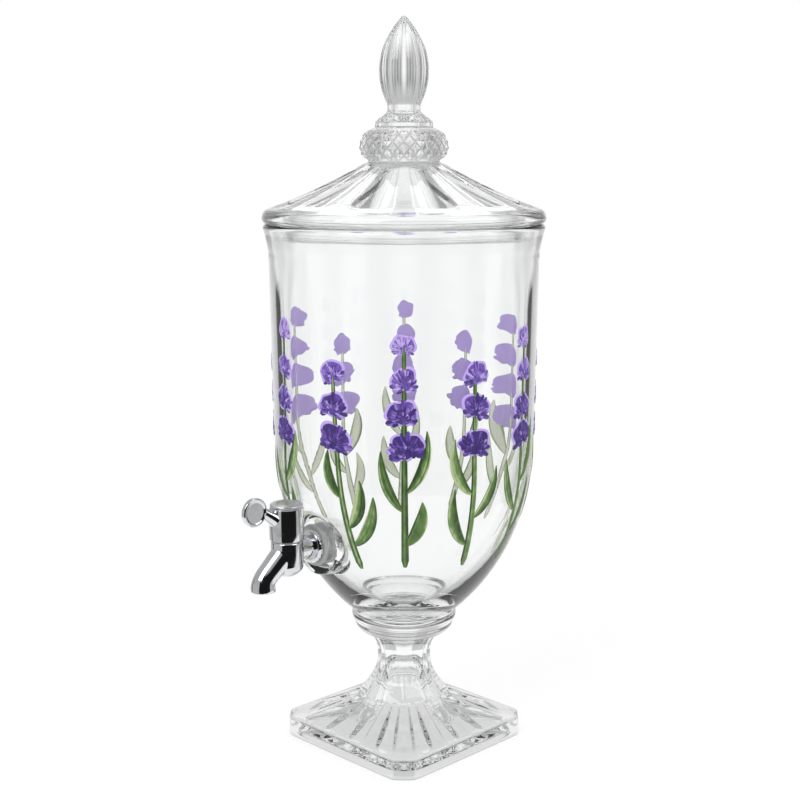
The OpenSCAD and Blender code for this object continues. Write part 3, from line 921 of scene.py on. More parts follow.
@dataclass
class Foot:
    """Square fluted foot with an eight-sided stem, hollow below, and the film that bonds it to the tank."""

    slab_side: float = 105.4
    corner_flat: float = 12.9
    corner_turn: float = 5.42
    corner_run: Span = (1.6, 0.25)
    corner_crisp: float = 70.0
    slab_h: float = 11.5
    bevel: float = 1.1
    border: float = 2.5
    border_step: float = 0.3
    border_rise: Span = (-0.1, 0.4)
    pyramid_h: float = 14.5
    flutes: int = 16
    flute_depth: float = 2.2
    flute_walls: Span = (0.3, 0.64)
    flute_run: Span = (2.2, 0.4)
    flute_end: float = 0.5
    lip_r: float = 26.6
    lip_h: float = 2.0
    lip_line: tuple[Span, ...] = ((-0.7, 0.1), (0.0, 0.5), (0.1, 1.2))
    waist_r: float = 15.6
    waist_z: float = 49.0
    waist_powers: Span = (2.4, 2.1)
    top_r: float = 20.6
    top_edge: Span = (1.2, 1.0)
    top_rows: tuple[float, ...] = (12.0, 4.0, AXIS_R)
    stem_sides: int = 8
    stem_crisp: float = 60.0
    hollow_half: float = 45.2
    hollow_edge: float = 3.2
    hollow_inset: float = 1.8
    hollow_crisp: float = 9.0
    hollow_square: Span = (4.0, 5.0)
    hollow_foot: tuple[Span, ...] = ((-0.8, 2.2), (-0.4, 0.6), (0.0, 0.0))
    ground_rows: tuple[float, ...] = (0.2, 0.5, 0.8, 0.96)
    dome_h: float = 10.5
    dome_sag: float = 0.2
    bore_foot_r: float = 21.0
    bore_top_r: float = 9.0
    bore_h: float = 50.0
    bore_line: tuple[Span, ...] = ((-3.0, 0.0), (0.0, -3.0), (2.0, -9.0), (5.0, -28.0))
    bore_fillet: Span = (4.0, 1.5)
    film_r: float = 18.4
    film_edge: float = 0.4
    film_neck: float = 0.12
    film_row: float = 9.0
    film_gap: float = 0.03
    # Painted shade in the foot's edges, cut corners and flute walls
    tint: PaintedEdgeShade = PaintedEdgeShade()

    def __post_init__(self) -> None:
        """Reads the top of the stem from the frame."""
        self.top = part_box("foot")[1].z / MM
        self.head = self.slab_h + self.pyramid_h

    def outline(self, angles: Array, inset: float) -> Array:
        """Reach of the slab's edge.

        Args:
            angles: Angles round the axis in degrees.
            inset: How far the edge is drawn in.

        Returns:
            Distance from the axis at each angle.
        """
        half = self.slab_side / 2 - inset
        cut = (self.slab_side - self.corner_flat / math.sqrt(2)) / math.sqrt(2) - inset
        return sided(angles, {45.0 * k: cut if k % 2 else half for k in range(8)}, self.corner_crisp)

    def across(self, angles: Array) -> Array:
        """Place across a flute: 0 on its middle and 1 midway to the next."""
        return np.abs(((angles - RIB_AT) * self.flutes / FULL_TURN) % 1.0 * 2 - 1)

    def square(self, angles: Array) -> Array:
        """Reach of the hollow's square outline against the circle inside it."""
        return sided(angles, {90.0 * k: 1.0 for k in range(4)}, self.hollow_crisp)

    def slab(self) -> Array:
        """Side of the slab with both edges rounded.

        Returns:
            Insets from the slab's edge and heights, from the ground up.
        """
        low, high = np.radians(np.linspace(0, 90, 6)), np.radians(np.linspace(0, 90, 7))
        foot = pairs(self.bevel * (1 - np.sin(low)), self.bevel * (1 - np.cos(low)))
        side = pairs(0.0, np.linspace(self.bevel, self.slab_h - self.bevel, 6)[1:-1])
        top = pairs(self.bevel * (1 - np.cos(high)), self.slab_h - self.bevel * (1 - np.sin(high)))
        return rows(foot, side, top)

    def hollow(self, angles: Array) -> Array:
        """Hollow under the foot, round at its top and square with rounded corners at the ground.

        Args:
            angles: Angles round the axis in degrees.

        Returns:
            Rings from the top of the hollow to the ground.
        """
        half, edge, dome, foot = self.hollow_half, self.hollow_edge, self.dome_h, self.bore_foot_r
        bore = beside(self.bore_top_r, self.bore_h, self.bore_line)
        fillet_in, fillet_up = self.bore_fillet
        rim = half - self.hollow_inset
        slope = [(foot, dome), ((foot + rim) / 2, (dome + edge) / 2 + self.dome_sag), (rim, edge)]
        ground = beside(half, 0.0, self.hollow_foot)
        top = [(AXIS_R, self.bore_h)]
        line = rounded(rows(top, bore, [(foot - fillet_in, dome + fillet_up)], slope, ground), 3)
        inner, outer = self.hollow_square
        share = smooth(foot - inner, half - outer, line[:, :1])
        return polar(line[:, :1] * (1 + (self.square(angles) - 1) * share), angles, line[:, 1:])

    def pyramid(self, angles: Array) -> list[Array]:
        """Fluted pyramid from the slab's border to the lip.

        Args:
            angles: Angles round the axis in degrees.

        Returns:
            Its rings from the outside in.
        """
        start = (self.lip_r - 1) * regular(angles, self.stem_sides, RIB_AT, self.stem_crisp)
        rim = self.outline(angles, self.border)
        dip = self.flute_depth * (1 - smooth(*self.flute_walls, self.across(angles)))
        low, rise = self.border_rise
        rings = [polar(self.outline(angles, self.border - self.border_step), angles, self.slab_h)[None]]
        for s in (1 + np.cos(np.linspace(0.06, math.pi, 30))) / 2:
            z = self.head - self.pyramid_h * s - dip * math.sin(math.pi * s) ** self.flute_end
            z = np.maximum(z, self.slab_h + low + rise * (1 - s))
            rings.append(polar(start + (rim - start) * s, angles, z)[None])
        return rings

    def stem_r(self, z: Array, low: float) -> Array:
        """Corner radius of the stem.

        Args:
            z: Heights.
            low: Height of its foot.

        Returns:
            Radius at each height.
        """
        up = np.clip((z - self.waist_z) / (self.top - self.waist_z), 0, 1)
        down = np.clip((self.waist_z - z) / (self.waist_z - low), 0, 1)
        up_power, down_power = self.waist_powers
        widen = (self.top_r - self.waist_r) * up**up_power
        return self.waist_r + widen + (self.lip_r - self.waist_r) * down**down_power

    def stem(self, angles: Array) -> Array:
        """Lip and eight-sided stem.

        Args:
            angles: Angles round the axis in degrees.

        Returns:
            Rings up to the middle of the closed top.
        """
        low = self.head + self.lip_h
        lip = beside(self.lip_r, self.head, self.lip_line)
        inset, drop = self.top_edge
        z = low + (self.top - drop - low) * np.linspace(0.02, 1, 34)
        stem = pairs(self.stem_r(z, low), z)
        edge = rounded([stem[-1], (self.top_r, self.top), (self.top_r - inset, self.top)], 2)[1:]
        profile = rows(rounded([*lip, (self.lip_r, low)], 2), stem, edge, pairs(self.top_rows, self.top))
        reach = regular(angles, self.stem_sides, RIB_AT, self.stem_crisp)
        return polar(profile[:, :1] * reach, angles, profile[:, 1:])

    def grey(self, rings: Array, angles: Array) -> Array:
        """Painted shade: grey painted into the slab's edges, its cut corners and the walls of the flutes,
        standing in for the dark surroundings that the glass shows there.

        Args:
            rings: Rings of the whole foot, from the hollow to the stem.
            angles: Angles round the axis in degrees.

        Returns:
            Tone of the painted shade by ring and place.
        """
        tint, z = self.tint, rings[..., 2]
        inset = self.outline(angles, 0) - np.hypot(rings[..., 0], rings[..., 1])
        rim = 1 - smooth(*tint.rim, inset)
        foot = rim * (1 - smooth(*tint.foot, z))
        top = tint.top_share * (1 - smooth(*tint.top, np.abs(inset - tint.top_inset)))
        top = top * smooth(*tint.top_rise, z - self.slab_h)
        from_corner = np.abs(angles % 90.0 - 45.0)
        facet = tint.facet_share * rim * (1 - smooth(*tint.facet_turn, from_corner))
        low, high = self.flute_walls
        off_wall = np.abs(self.across(angles) - (low + high) / 2)
        wall = tint.wall_share * (1 - smooth(0.0, tint.wall_spread * (high - low), off_wall))
        cone = smooth(*tint.cone_foot, z - self.slab_h) * (1 - smooth(-tint.cone_head, 0.0, z - self.head))
        outside = np.arange(len(rings))[:, None] > np.argmin(inset[:, 0])
        return np.maximum.reduce([foot, top, facet, wall * cone * (inset > tint.cone_inset) * outside])

    def film(self) -> None:
        """Makes the bonding film, with a slight meniscus at its edge."""
        low, high = self.top + self.film_gap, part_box("tank")[0].z / MM - self.film_gap
        r, inner = self.film_r, self.film_r - self.film_edge
        edge = [(inner, low), (r, low), (r - self.film_neck, (low + high) / 2), (r, high), (inner, high)]
        middle = (AXIS_R, self.film_row)
        profile = rows(pairs(middle, low), rounded(edge, 2), pairs(middle[::-1], high))
        piece = Piece("bond_film", FILM, Body.VESSEL, ("bond_layer",), Slot.ADHESIVE)
        piece.build(Skin().loft(turned(profile, ring_angles(96))))

    def build(self) -> None:
        """Makes the foot as one skin, from its hollow round its edge to the top of the stem, and the film."""
        sides = (-1, 1)
        turns = [45.0 * k + side * self.corner_turn for k in (1, 3, 5, 7) for side in sides]
        pitch = FULL_TURN / self.flutes
        wall = pitch * sum(self.flute_walls) / 4
        walls = [pitch * (k + 0.5) + side * wall for k in range(self.flutes) for side in sides]
        finer = [(at, *self.corner_run) for at in turns] + [(at, *self.flute_run) for at in walls]
        angles = ring_angles(384, *finer)
        start, ground = self.hollow_half * self.square(angles), self.outline(angles, self.bevel)
        rings = [self.hollow(angles)]
        rings += [polar(start + (ground - start) * t, angles, 0.0)[None] for t in self.ground_rows]
        rings += [polar(self.outline(angles, inset), angles, z)[None] for inset, z in self.slab()]
        rings += self.pyramid(angles)
        rings.append(self.stem(angles))
        skin = np.concatenate(rings)
        piece = Piece("foot_glass", FOOT_GLASS, Body.VESSEL, ("foot",), Slot.GLASS, sharp=22.0)
        # The tone carries the painted shade of the foot's edges
        piece.build(Skin().loft(skin, tone=self.grey(skin, angles)))
        self.film()


@dataclass
class Lid:
    """Fluted lid with a flange that drops into the mouth, a hobnail ring and a bud finial."""

    edge_r: float = 79.5
    edge_round: float = 4.0
    edge_h: float = 7.7
    foot_h: float = 2.0
    foot_round: Span = (3.0, 0.8)
    cone_h: float = 26.0
    cone_sag: float = 1.5
    crown_r: float = 19.6
    flange_r: float = 72.6
    flange_t: float = 4.6
    flange_h: float = 7.0
    flange_round: Span = (2.6, 3.0)
    seat_fillet: float = 2.0
    glass_t: float = 5.6
    roof_rows: Span = (AXIS_R, 8.0)
    roof_r: float = 12.0
    vault_inset: float = 4.0
    vault_rise: float = 3.0
    vault_foot: float = 3.4
    flutes: int = 12
    flute_from: float = 21.5
    flute_to: float = 66.0
    flute_rise: Span = (-2.5, 3.0)
    flute_stop: Span = (-1.0, 0.5)
    flute_depths: Span = (0.8, 2.4)
    flute_share: float = 0.72
    flute_power: float = 1.15
    brim_wave: float = 0.7
    brim_fade: Span = (71.0, 75.5)
    row_lead: float = 0.6
    stop_rows: tuple[float, ...] = (1.4, 1.1, -1.8, -2.4)
    ring_h: float = 18.0
    ring_r: float = 23.8
    ring_top_r: float = 17.6
    ring_power: float = 0.7
    ring_rows: int = 5
    diamonds: int = 24
    diamond: float = 1.2
    stud_rise: Span = (0.03, 0.14)
    stud_fall: Span = (0.86, 0.97)
    # Painted shade in the grooves between the studs
    stud_painted_shade: float = 0.7
    stud_line: float = 3.0
    skirt_gap: float = 1.0
    skirt_r: float = 17.2
    skirt_h: float = 11.8
    skirt_bell: Span = (0.12, 0.74)
    skirt_lead: tuple[Span, ...] = ((0.4, 0.1), (0.1, 0.4))
    neck_r: float = 9.9
    bud_h: float = 47.5
    bud_belly: float = 18.5
    bud_r: float = 14.8
    bud_taper: Span = (0.34, 0.93)
    bud_sides: int = 6
    bud_crisp: float = 22.0
    bud_scoops: int = 12
    bud_scoop: float = 0.035
    bud_tip: float = 4.0
    tip_share: float = 0.93
    # Painted shade along the bud's ridges
    bud_painted_shade: float = 1.0
    bud_line: float = 1.3
    bud_painted_shade_rise: Span = (0.1, 0.3)
    bud_painted_shade_fall: Span = (0.45, 0.8)

    def __post_init__(self) -> None:
        """Stacks the heights on the lid's place in the frame."""
        self.flange_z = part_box("lid")[0].z / MM
        self.seat_z = self.flange_z + self.flange_h
        self.edge_z = self.seat_z + self.edge_h
        self.crown_z = self.edge_z + self.cone_h
        self.ring_z = self.crown_z + self.ring_h
        self.skirt_z = self.ring_z + self.skirt_gap
        self.neck_z = self.skirt_z + self.skirt_h
        self.belly_z = self.neck_z + self.bud_belly
        self.tip_z = self.neck_z + self.bud_h

    def fall(self, r: Array, crown: float, foot: float, drop: float) -> Array:
        """Fall of the cone from its crown to its foot, with the sag between them."""
        t = (r - crown) / (foot - crown)
        return drop * t + 4 * self.cone_sag * t * (1 - t)

    def under(self) -> Array:
        """Underside of the lid.

        Returns:
            Profile from the middle, round the flange, to the foot of the rounded edge.
        """
        roof, inner, outer = self.crown_z - self.glass_t, self.flange_r - self.flange_t, self.flange_r
        low, seat, start = self.flange_z, self.seat_z, self.crown_r - self.vault_inset
        near, far = self.flange_round
        r = np.linspace(start, inner, 9)[:-1]
        slope = pairs(r, roof - self.fall(r, start, inner, self.cone_h - self.vault_rise))
        vault_end = pairs(inner, (self.edge_z - self.vault_foot, low + far))
        vault = rows([(self.roof_r, roof)], slope, vault_end)
        flange = [(inner, low + near), (inner, low), (outer, low), (outer, low + near)]
        corner = [(outer, low + far), (outer, seat), (outer + self.seat_fillet, seat)]
        foot = [*pairs(self.edge_r - np.array(self.foot_round), seat), (self.edge_r, seat + self.foot_h)]
        runs = (rounded(vault, 3), rounded(flange, 3), rounded(corner), rounded(foot))
        return rows(pairs(self.roof_rows, roof), *runs)

    def flute(self, r: Array, angles: Array) -> Array:
        """Depth of the scooped flutes and of the wave that they leave in the brim.

        Args:
            r: Radii, as a column.
            angles: Angles round the axis in degrees.

        Returns:
            Depth by radius and angle.
        """
        pitch = FULL_TURN / self.flutes
        off = np.radians((angles - RIB_AT) % pitch - pitch / 2)
        across = np.abs(r * np.sin(off)) / (r * math.sin(math.radians(pitch / 2)) * self.flute_share)
        scoop = np.clip(1 - across**2, 0, 1)
        share = np.clip((r - self.flute_from) / (self.flute_to - self.flute_from), 0, 1)
        shallow, deep = self.flute_depths
        starts = smooth(*self.flute_rise, r - self.flute_from)
        stops = smooth(*self.flute_stop, r - self.flute_to)
        flute = (shallow + (deep - shallow) * share) * scoop**self.flute_power * starts * (1 - stops)
        return flute + self.brim_wave * scoop * stops * (1 - smooth(*self.brim_fade, r))

    def cone(self, angles: Array) -> Array:
        """Rounded edge and fluted cone.

        Args:
            angles: Angles round the axis in degrees.

        Returns:
            Rings from the edge up to the crown, closest where the flutes stop.
        """
        a = np.radians(np.linspace(6, 86, 16))
        start, end = self.edge_r - self.edge_round, self.flute_to
        rise = self.seat_z + self.foot_h + (self.edge_h - self.foot_h) * np.sin(a)
        edge = pairs(start + self.edge_round * np.cos(a), rise)
        brim_end, stop_start, stop_end, flute_start = end + np.array(self.stop_rows)
        brim = np.linspace(start - self.row_lead, brim_end, 10)
        stop = np.linspace(stop_start, stop_end, 22)
        flutes = np.linspace(flute_start, self.crown_r + self.row_lead, 70)
        r = np.concatenate([brim, stop, flutes])[:, None]
        z = self.crown_z - self.fall(r, self.crown_r, start, self.cone_h) - self.flute(r, angles)
        return np.concatenate([turned(edge, angles), polar(r, angles, z)])

    def ring(self, angles: Array) -> tuple[Array, Array]:
        """Hobnail band: pyramids on a bulging neck.

        Args:
            angles: Angles round the axis in degrees.

        Returns:
            Rings of the band, and its tone with painted shade as grey lines between the studs.
        """
        s = np.linspace(0.005, 1, 78)[:, None]
        bulge = (self.ring_r - (self.crown_r + self.ring_top_r) / 2) * np.sin(math.pi * s) ** self.ring_power
        r = self.crown_r + (self.ring_top_r - self.crown_r) * s + bulge
        u = (angles - RIB_AT) * self.diamonds / 180.0
        v = s * self.ring_rows
        p, q = (u + v) / 2, (u - v) / 2
        stud = 1 - 2 * np.maximum(np.abs(p - np.round(p)), np.abs(q - np.round(q)))
        fade = band(self.stud_rise, self.stud_fall, s)
        tone = self.stud_painted_shade * np.clip(1 - self.stud_line * stud, 0, 1) * fade
        return polar(r + self.diamond * stud * fade, angles, self.crown_z + self.ring_h * s), tone

    def bud_profile(self) -> Array:
        """Skirt and bud by corner radius and height.

        Returns:
            Profile from the top of the hobnail band to the rounded tip.
        """
        (in_lead, low_lead), (out_lead, high_lead) = self.skirt_lead
        s = np.linspace(0, 1, 24)
        bell = 1 - smooth(*self.skirt_bell, s)
        skirt = pairs(self.neck_r + (self.skirt_r - self.neck_r) * bell, self.skirt_z + self.skirt_h * s)
        lead = [(self.ring_top_r - in_lead / 2, self.ring_z + low_lead)]
        lead += [(self.skirt_r + out_lead, self.ring_z + high_lead), skirt[0]]
        z = self.neck_z + self.bud_h * np.sin(np.linspace(0.03, 0.93, 56) * math.pi / 2)
        low = 1 - self.bud_taper[0] * ((self.belly_z - z) / self.bud_belly) ** 2
        high = 1 - self.bud_taper[1] * ((z - self.belly_z) / (self.tip_z - self.belly_z)) ** 2
        bud = pairs(self.bud_r * np.where(z < self.belly_z, low, high), z)
        a = np.radians(np.linspace(12, 88, 8))
        tip = pairs(bud[-1, 0] * np.cos(a), z[-1] + (self.tip_z - z[-1]) * np.sin(a))
        self.bud_end = z[-1]
        return rows(rounded(lead)[:-1], skirt, bud, tip)

    def bud(self, angles: Array) -> tuple[Array, Array]:
        """Six-sided skirt and bud with shallow scoops.

        Args:
            angles: Angles round the axis in degrees.

        Returns:
            Rings up to the tip, and their tone with painted shade as grey strokes along the ridges.
        """
        profile = self.bud_profile()
        r, z = profile[:, :1], profile[:, 1:]
        six = regular(angles, self.bud_sides, RIB_AT, self.bud_crisp)
        scoop = np.abs(np.cos(np.radians(angles - RIB_AT) * self.bud_scoops / 2))
        round_off = smooth(self.bud_end - self.bud_tip, self.tip_z, z)
        reach = six - self.bud_scoop * scoop + (self.tip_share - six) * round_off
        fade = band(self.bud_painted_shade_rise, self.bud_painted_shade_fall, (z - self.neck_z) / self.bud_h)
        return polar(r * reach, angles, z), self.bud_painted_shade * (1 - scoop) ** self.bud_line * fade

    def build(self) -> None:
        """Makes the lid with its finial as one skin."""
        angles = ring_angles(384)
        plain = np.concatenate([turned(self.under(), angles), self.cone(angles)])
        ring, ring_tone = self.ring(angles)
        bud, bud_tone = self.bud(angles)
        # The tone carries the painted shade of the ring and the bud; the cone has none
        tone = np.concatenate([np.zeros(plain.shape[:2]), ring_tone, bud_tone])
        piece = Piece("lid_glass", LID_GLASS, Body.LID, ("lid",), Slot.GLASS, sharp=60.0)
        piece.build(Skin().loft(np.concatenate([plain, ring, bud]), tone=tone))


# Tap


@dataclass
class Tap:
    """Chromed plug tap: threaded shank, cast body with a spout, hub with a paddle lever, nut and gaskets."""

    shank_r: float = 8.0
    shank_lead: float = 1.2
    shank_root: Span = (0.3, 0.1)
    port_r: float = 4.0
    collar_r: float = 9.6
    collar_t: float = 3.4
    collar_back: tuple[Span, ...] = ((-1.0, 0.02), (0.0, 0.02), (0.0, 1.2))
    collar_front: tuple[Span, ...] = ((-0.2, -1.0), (-1.1, 0.0))
    collar_flutes: int = 24
    collar_wave: float = 0.22
    collar_mean: float = 0.6
    collar_fade: float = 0.6
    neck_r: float = 6.5
    neck_sunk: float = 0.6
    neck_face: float = 0.4
    barrel_r: float = 8.7
    barrel_drop: float = 13.5
    barrel_edge: float = 0.7
    dome_h: float = 6.5
    spigot_r: float = 6.9
    spigot_over: float = 3.5
    plug_r: float = 6.08
    well_past: Span = (0.2, 2.0)
    bore_past: float = 1.0
    spout_r: float = 6.2
    spout_root_r: float = 6.9
    spout_root: float = 0.5
    spout_power: float = 1.5
    spout_flare: float = 0.6
    spout_widens: Span = (0.55, 1.0)
    spout_start: Span = (3.0, -1.0)
    spout_slope: float = 40.0
    spout_bend: float = 8.0
    spout_reach: float = 17.0
    spout_end: float = 1.8
    cast_voxel: float = 0.28
    cast_rounds: int = 5
    thread_pitch: float = 1.6
    thread_depth: float = 0.45
    thread_flank: Span = (0.15, 0.75)
    thread_ends: Span = (0.6, 1.0)
    thread_start: float = 2.0
    hub_r: float = 9.4
    hub_wall: float = 1.2
    hub_gap: float = 0.3
    hub_edge: float = 0.6
    hub_brow: tuple[Span, ...] = ((0.0, -1.0), (-0.9, 0.0))
    hub_hole_r: float = 3.0
    roof_gap: float = 0.4
    cap_r: float = 7.12
    cap_fit: float = 0.05
    cap_foot: float = 0.02
    cap_seat: float = 2.4
    cap_brim: float = 8.9
    cap_under: tuple[Span, ...] = ((-0.2, 0.0), (0.0, 0.3))
    cap_over: tuple[Span, ...] = ((0.0, -0.5), (-0.5, 0.0), (-1.2, 0.0))
    cap_emboss: float = 0.35
    cap_ring: tuple[float, ...] = (2.4, 2.7, 3.5, 3.8)
    cap_crown_r: float = 3.0
    cap_crown: float = 0.1
    paddle_r: float = 7.75
    paddle_t: float = 3.0
    paddle_rim: float = 1.4
    paddle_dish: float = 0.5
    paddle_slope: float = 0.8
    paddle_lip: tuple[Span, ...] = ((0.0, -0.1), (0.4, 0.0))
    paddle_edge: float = 0.5
    lever_root: Span = (-1.0, -3.4)
    lever_tip: Span = (1.4, -1.3)
    lever_radii: Span = (4.4, 2.7)
    lever_power: float = 0.8
    lever_flat: float = 0.35
    lever_voxel: float = 0.16
    lever_rounds: int = 4
    gasket_bore: float = 8.05
    nut_r: float = 13.0
    nut_sides: int = 6
    nut_crisp: float = 90.0
    nut_lead: float = 0.6
    nut_chamfer: tuple[Span, ...] = (
        (0.0, 11.4),
        (0.05, 11.9),
        (0.18, 12.7),
        (0.3, 13.4),
        (0.7, 13.4),
        (0.85, 12.8),
        (1.0, 11.9),
    )
    skin_gap: float = 0.03

    def __post_init__(self) -> None:
        """Reads the places of the tap's pieces from the frame."""
        low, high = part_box("outer_gasket")
        self.axis_z = (low.z + high.z) / 2 / MM
        self.gasket_r = (high.x - low.x) / 2 / MM
        self.face_x, self.collar_x = -high.y / MM, -low.y / MM
        low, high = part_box("inner_gasket")
        self.back_x, self.gasket_x = -low.y / MM, -high.y / MM
        low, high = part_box("inner_nut")
        self.nut_out, self.nut_x = -low.y / MM, -high.y / MM
        low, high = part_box("tap_body")
        self.shank_x, self.outlet_z = -high.y / MM, low.z / MM
        low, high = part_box("handle_cap")
        self.barrel_x = -(low.y + high.y) / 2 / MM
        self.ledge_z, self.cap_top = low.z / MM, high.z / MM
        low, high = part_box("handle")
        self.hub_foot, self.paddle_x = low.z / MM, -low.y / MM - self.paddle_r
        self.paddle_z = high.z / MM - self.paddle_r
        self.plug_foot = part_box("plug")[0].z / MM
        self.spigot_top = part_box("plug_seal_upper")[1].z / MM + self.spigot_over
        self.bonnet_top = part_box("bonnet_nut")[1].z / MM
        self.collar_out = self.collar_x + self.collar_t

    def tube(self, radius: Array, angles: Array, x: Array) -> Array:
        """Rings about the shank's axis, from their radii and a column of distances from the urn's axis."""
        return lying(polar(radius, angles, x), self.axis_z)

    def on_shank(self, profile: Array, angles: Array) -> Array:
        """Rings of a profile of radius and distance, turned about the shank's axis."""
        return self.tube(profile[:, :1], angles, profile[:, 1:])

    def on_barrel(self, profile: Array, angles: Array) -> Array:
        """Rings of a profile of radius and height, turned about the barrel's axis."""
        return to_front(turned(profile, angles) + (self.barrel_x, 0.0, 0.0))

    def spout(self, root_r: float, r: float, past: float, flare: float = 0.0) -> Array:
        """The spout along its bent axis, or its bore.

        Args:
            root_r: Radius where it leaves the barrel.
            r: Radius past its root.
            past: How far it goes beyond the outlet.
            flare: How much it widens towards the outlet.

        Returns:
            Its rings.
        """
        slope, bend = math.radians(self.spout_slope), self.spout_bend
        start = np.add((self.barrel_x, self.axis_z), self.spout_start)
        bend_x, bend_z = self.barrel_x + self.spout_reach - bend, self.outlet_z + self.spout_end
        entry = np.array([bend_x + bend * math.sin(slope), bend_z + bend * math.cos(slope)])
        run = start + (entry - start) * np.linspace(0, 0.95, 14)[:, None]
        turn = arc((bend_x, bend_z), bend, 90 - self.spout_slope, 0, 18)
        end = pairs(bend_x + bend, bend_z - self.spout_end * np.array([0.5, 1.0]) - past)
        line = rows(run, turn, end)
        along = np.linspace(0, 1, len(line))
        root = np.clip(1 - along / self.spout_root, 0, 1) ** self.spout_power
        return swept(line, r + (root_r - r) * root + flare * smooth(*self.spout_widens, along))

    def casting(self) -> None:
        """Makes the cast body: neck, barrel and spout run into one another, then bored."""
        angles = ring_angles(120)
        low, high, r = self.axis_z - self.barrel_drop, self.hub_foot - self.hub_gap, self.barrel_r
        a = np.radians(np.linspace(4, 90, 16))
        dome = pairs(r * np.sin(a), low + self.dome_h * (1 - np.cos(a)))
        edge = [(r, high - self.barrel_edge), (r - self.barrel_edge, high)]
        spigot = [(self.spigot_r, high), (self.spigot_r, self.spigot_top), (AXIS_R, self.spigot_top)]
        neck_x = self.collar_out - self.neck_sunk
        neck = rows(pairs((AXIS_R, self.neck_r), neck_x), pairs((self.neck_r, AXIS_R), self.barrel_x))
        skin = Skin().loft(self.on_barrel(rows(dome, edge, spigot), angles))
        skin.loft(self.on_shank(neck, angles))
        skin.loft(self.spout(self.spout_root_r, self.spout_r, 0.0, self.spout_flare))
        made = skin.mesh("tap_casting")
        Shaper.fuse(made, self.cast_voxel, self.cast_rounds)
        below, above = self.well_past
        well = pairs(self.plug_r, (self.plug_foot - below, self.spigot_top + above))
        port = pairs(self.port_r, (self.collar_x, self.barrel_x))
        Shaper.cut(
            made,
            Skin().loft(self.on_barrel(well, angles)),
            Skin().loft(self.on_shank(port, ring_angles(64))),
            Skin().loft(self.spout(self.port_r, self.port_r, self.bore_past)),
        )
        Piece("tap_casting", CHROME, Body.VESSEL, ("tap_body",), Slot.CHROME).place(made)

    def thread(self, angles: Array) -> Array:
        """Thread of the shank.

        Args:
            angles: Angles round the axis in degrees.

        Returns:
            Rings from the shank's end to the glass.
        """
        first, last = self.thread_ends
        x = np.linspace(self.shank_x + first, self.face_x - last, 110)[:, None]
        turn = (angles / FULL_TURN - x / self.thread_pitch) % 1.0
        ridge = smooth(*self.thread_flank, 1 - np.abs(2 * turn - 1))
        starts = smooth(self.shank_x, self.shank_x + self.thread_start, x)
        return self.tube(self.shank_r - self.thread_depth * (1 - ridge * starts), angles, x)

    def collar(self, angles: Array) -> Array:
        """Fluted collar that the outer gasket lies against.

        Args:
            angles: Angles round the axis in degrees.

        Returns:
            Rings from the glass to the neck.
        """
        back = beside(self.collar_r, self.collar_x, self.collar_back)
        front = beside(self.collar_r, self.collar_out, self.collar_front)
        root = pairs(self.shank_r - np.array(self.shank_root), (self.face_x, back[0, 1]))
        rim = rounded([*back, *front, (self.neck_r - self.neck_face, self.collar_out)], 3)
        profile = rows(root, rim)
        wave = np.abs(np.cos(np.radians(angles) * self.collar_flutes / 2)) - self.collar_mean
        fade = smooth(self.collar_r - self.collar_fade, self.collar_r, profile[:, :1])
        return self.tube(profile[:, :1] + self.collar_wave * wave * fade, angles, profile[:, 1:])

    def shank(self) -> None:
        """Makes the threaded shank with its fluted collar and its bore."""
        angles = ring_angles(144)
        lead = self.on_shank(pairs(self.shank_r - self.shank_lead, [self.shank_x]), angles)
        bore = self.on_shank(pairs(self.port_r, (self.collar_out, self.shank_x)), angles)
        rings = np.concatenate([lead, self.thread(angles), self.collar(angles), bore])
        piece = Piece("tap_shank", CHROME, Body.VESSEL, slot=Slot.CHROME, sharp=30.0)
        piece.build(Skin().loft(rings, loop=True))

    def hub(self) -> None:
        """Makes the turning hub as a ring with rounded rims, open below over the bonnet nut."""
        roof, top, foot = self.bonnet_top + self.roof_gap, self.ledge_z + self.cap_seat, self.hub_foot
        inner, r, hole = self.hub_r - self.hub_wall, self.hub_r, self.cap_r + self.cap_fit
        low = [(inner, roof), (inner, foot), (r - self.hub_edge, foot), (r, foot + self.hub_edge)]
        outside = rounded([*low, *beside(r, top, self.hub_brow), (hole, top)], 1)
        well = pairs((hole, self.hub_hole_r), self.ledge_z)
        profile = rows([(self.hub_hole_r, roof)], outside, well)
        piece = Piece("handle_hub", CHROME, Body.HANDLE, ("handle",), Slot.CHROME, sharp=30.0)
        piece.build(Skin().loft(self.on_barrel(profile, ring_angles(144)), loop=True))

    def paddle(self) -> Array:
        """Round paddle, dished on both faces.

        Returns:
            Its rings.
        """
        half, edge = self.paddle_t / 2, self.paddle_edge
        rim, floor = self.paddle_r - self.paddle_rim, half - self.paddle_dish
        dish = pairs((AXIS_R, rim - self.paddle_slope), floor)
        outer = beside(self.paddle_r, half, ((-edge, 0.0), (0.0, -edge)))
        side = rows(dish, beside(rim, half, self.paddle_lip), outer)
        disc = turned(rows(side, side[::-1] * (1.0, -1.0)), ring_angles(120))[..., [0, 2, 1]]
        return to_front(disc + (self.paddle_x, 0.0, self.paddle_z))

    def lever(self) -> None:
        """Makes the lever: a tapering neck that runs into the paddle."""
        start = np.add((self.barrel_x + self.hub_r, self.ledge_z), self.lever_root)
        stop = np.add((self.paddle_x - self.paddle_r, self.paddle_z), self.lever_tip)
        t = np.linspace(0, 1, 16)
        root, tip = self.lever_radii
        radius = root + (tip - root) * t**self.lever_power
        neck = swept(start + (stop - start) * t[:, None], radius, 1 - self.lever_flat * t)
        made = Skin().loft(self.paddle()).loft(neck).mesh("handle_lever")
        Shaper.fuse(made, self.lever_voxel, self.lever_rounds)
        Piece("handle_lever", CHROME, Body.HANDLE, ("handle",), Slot.CHROME).place(made)

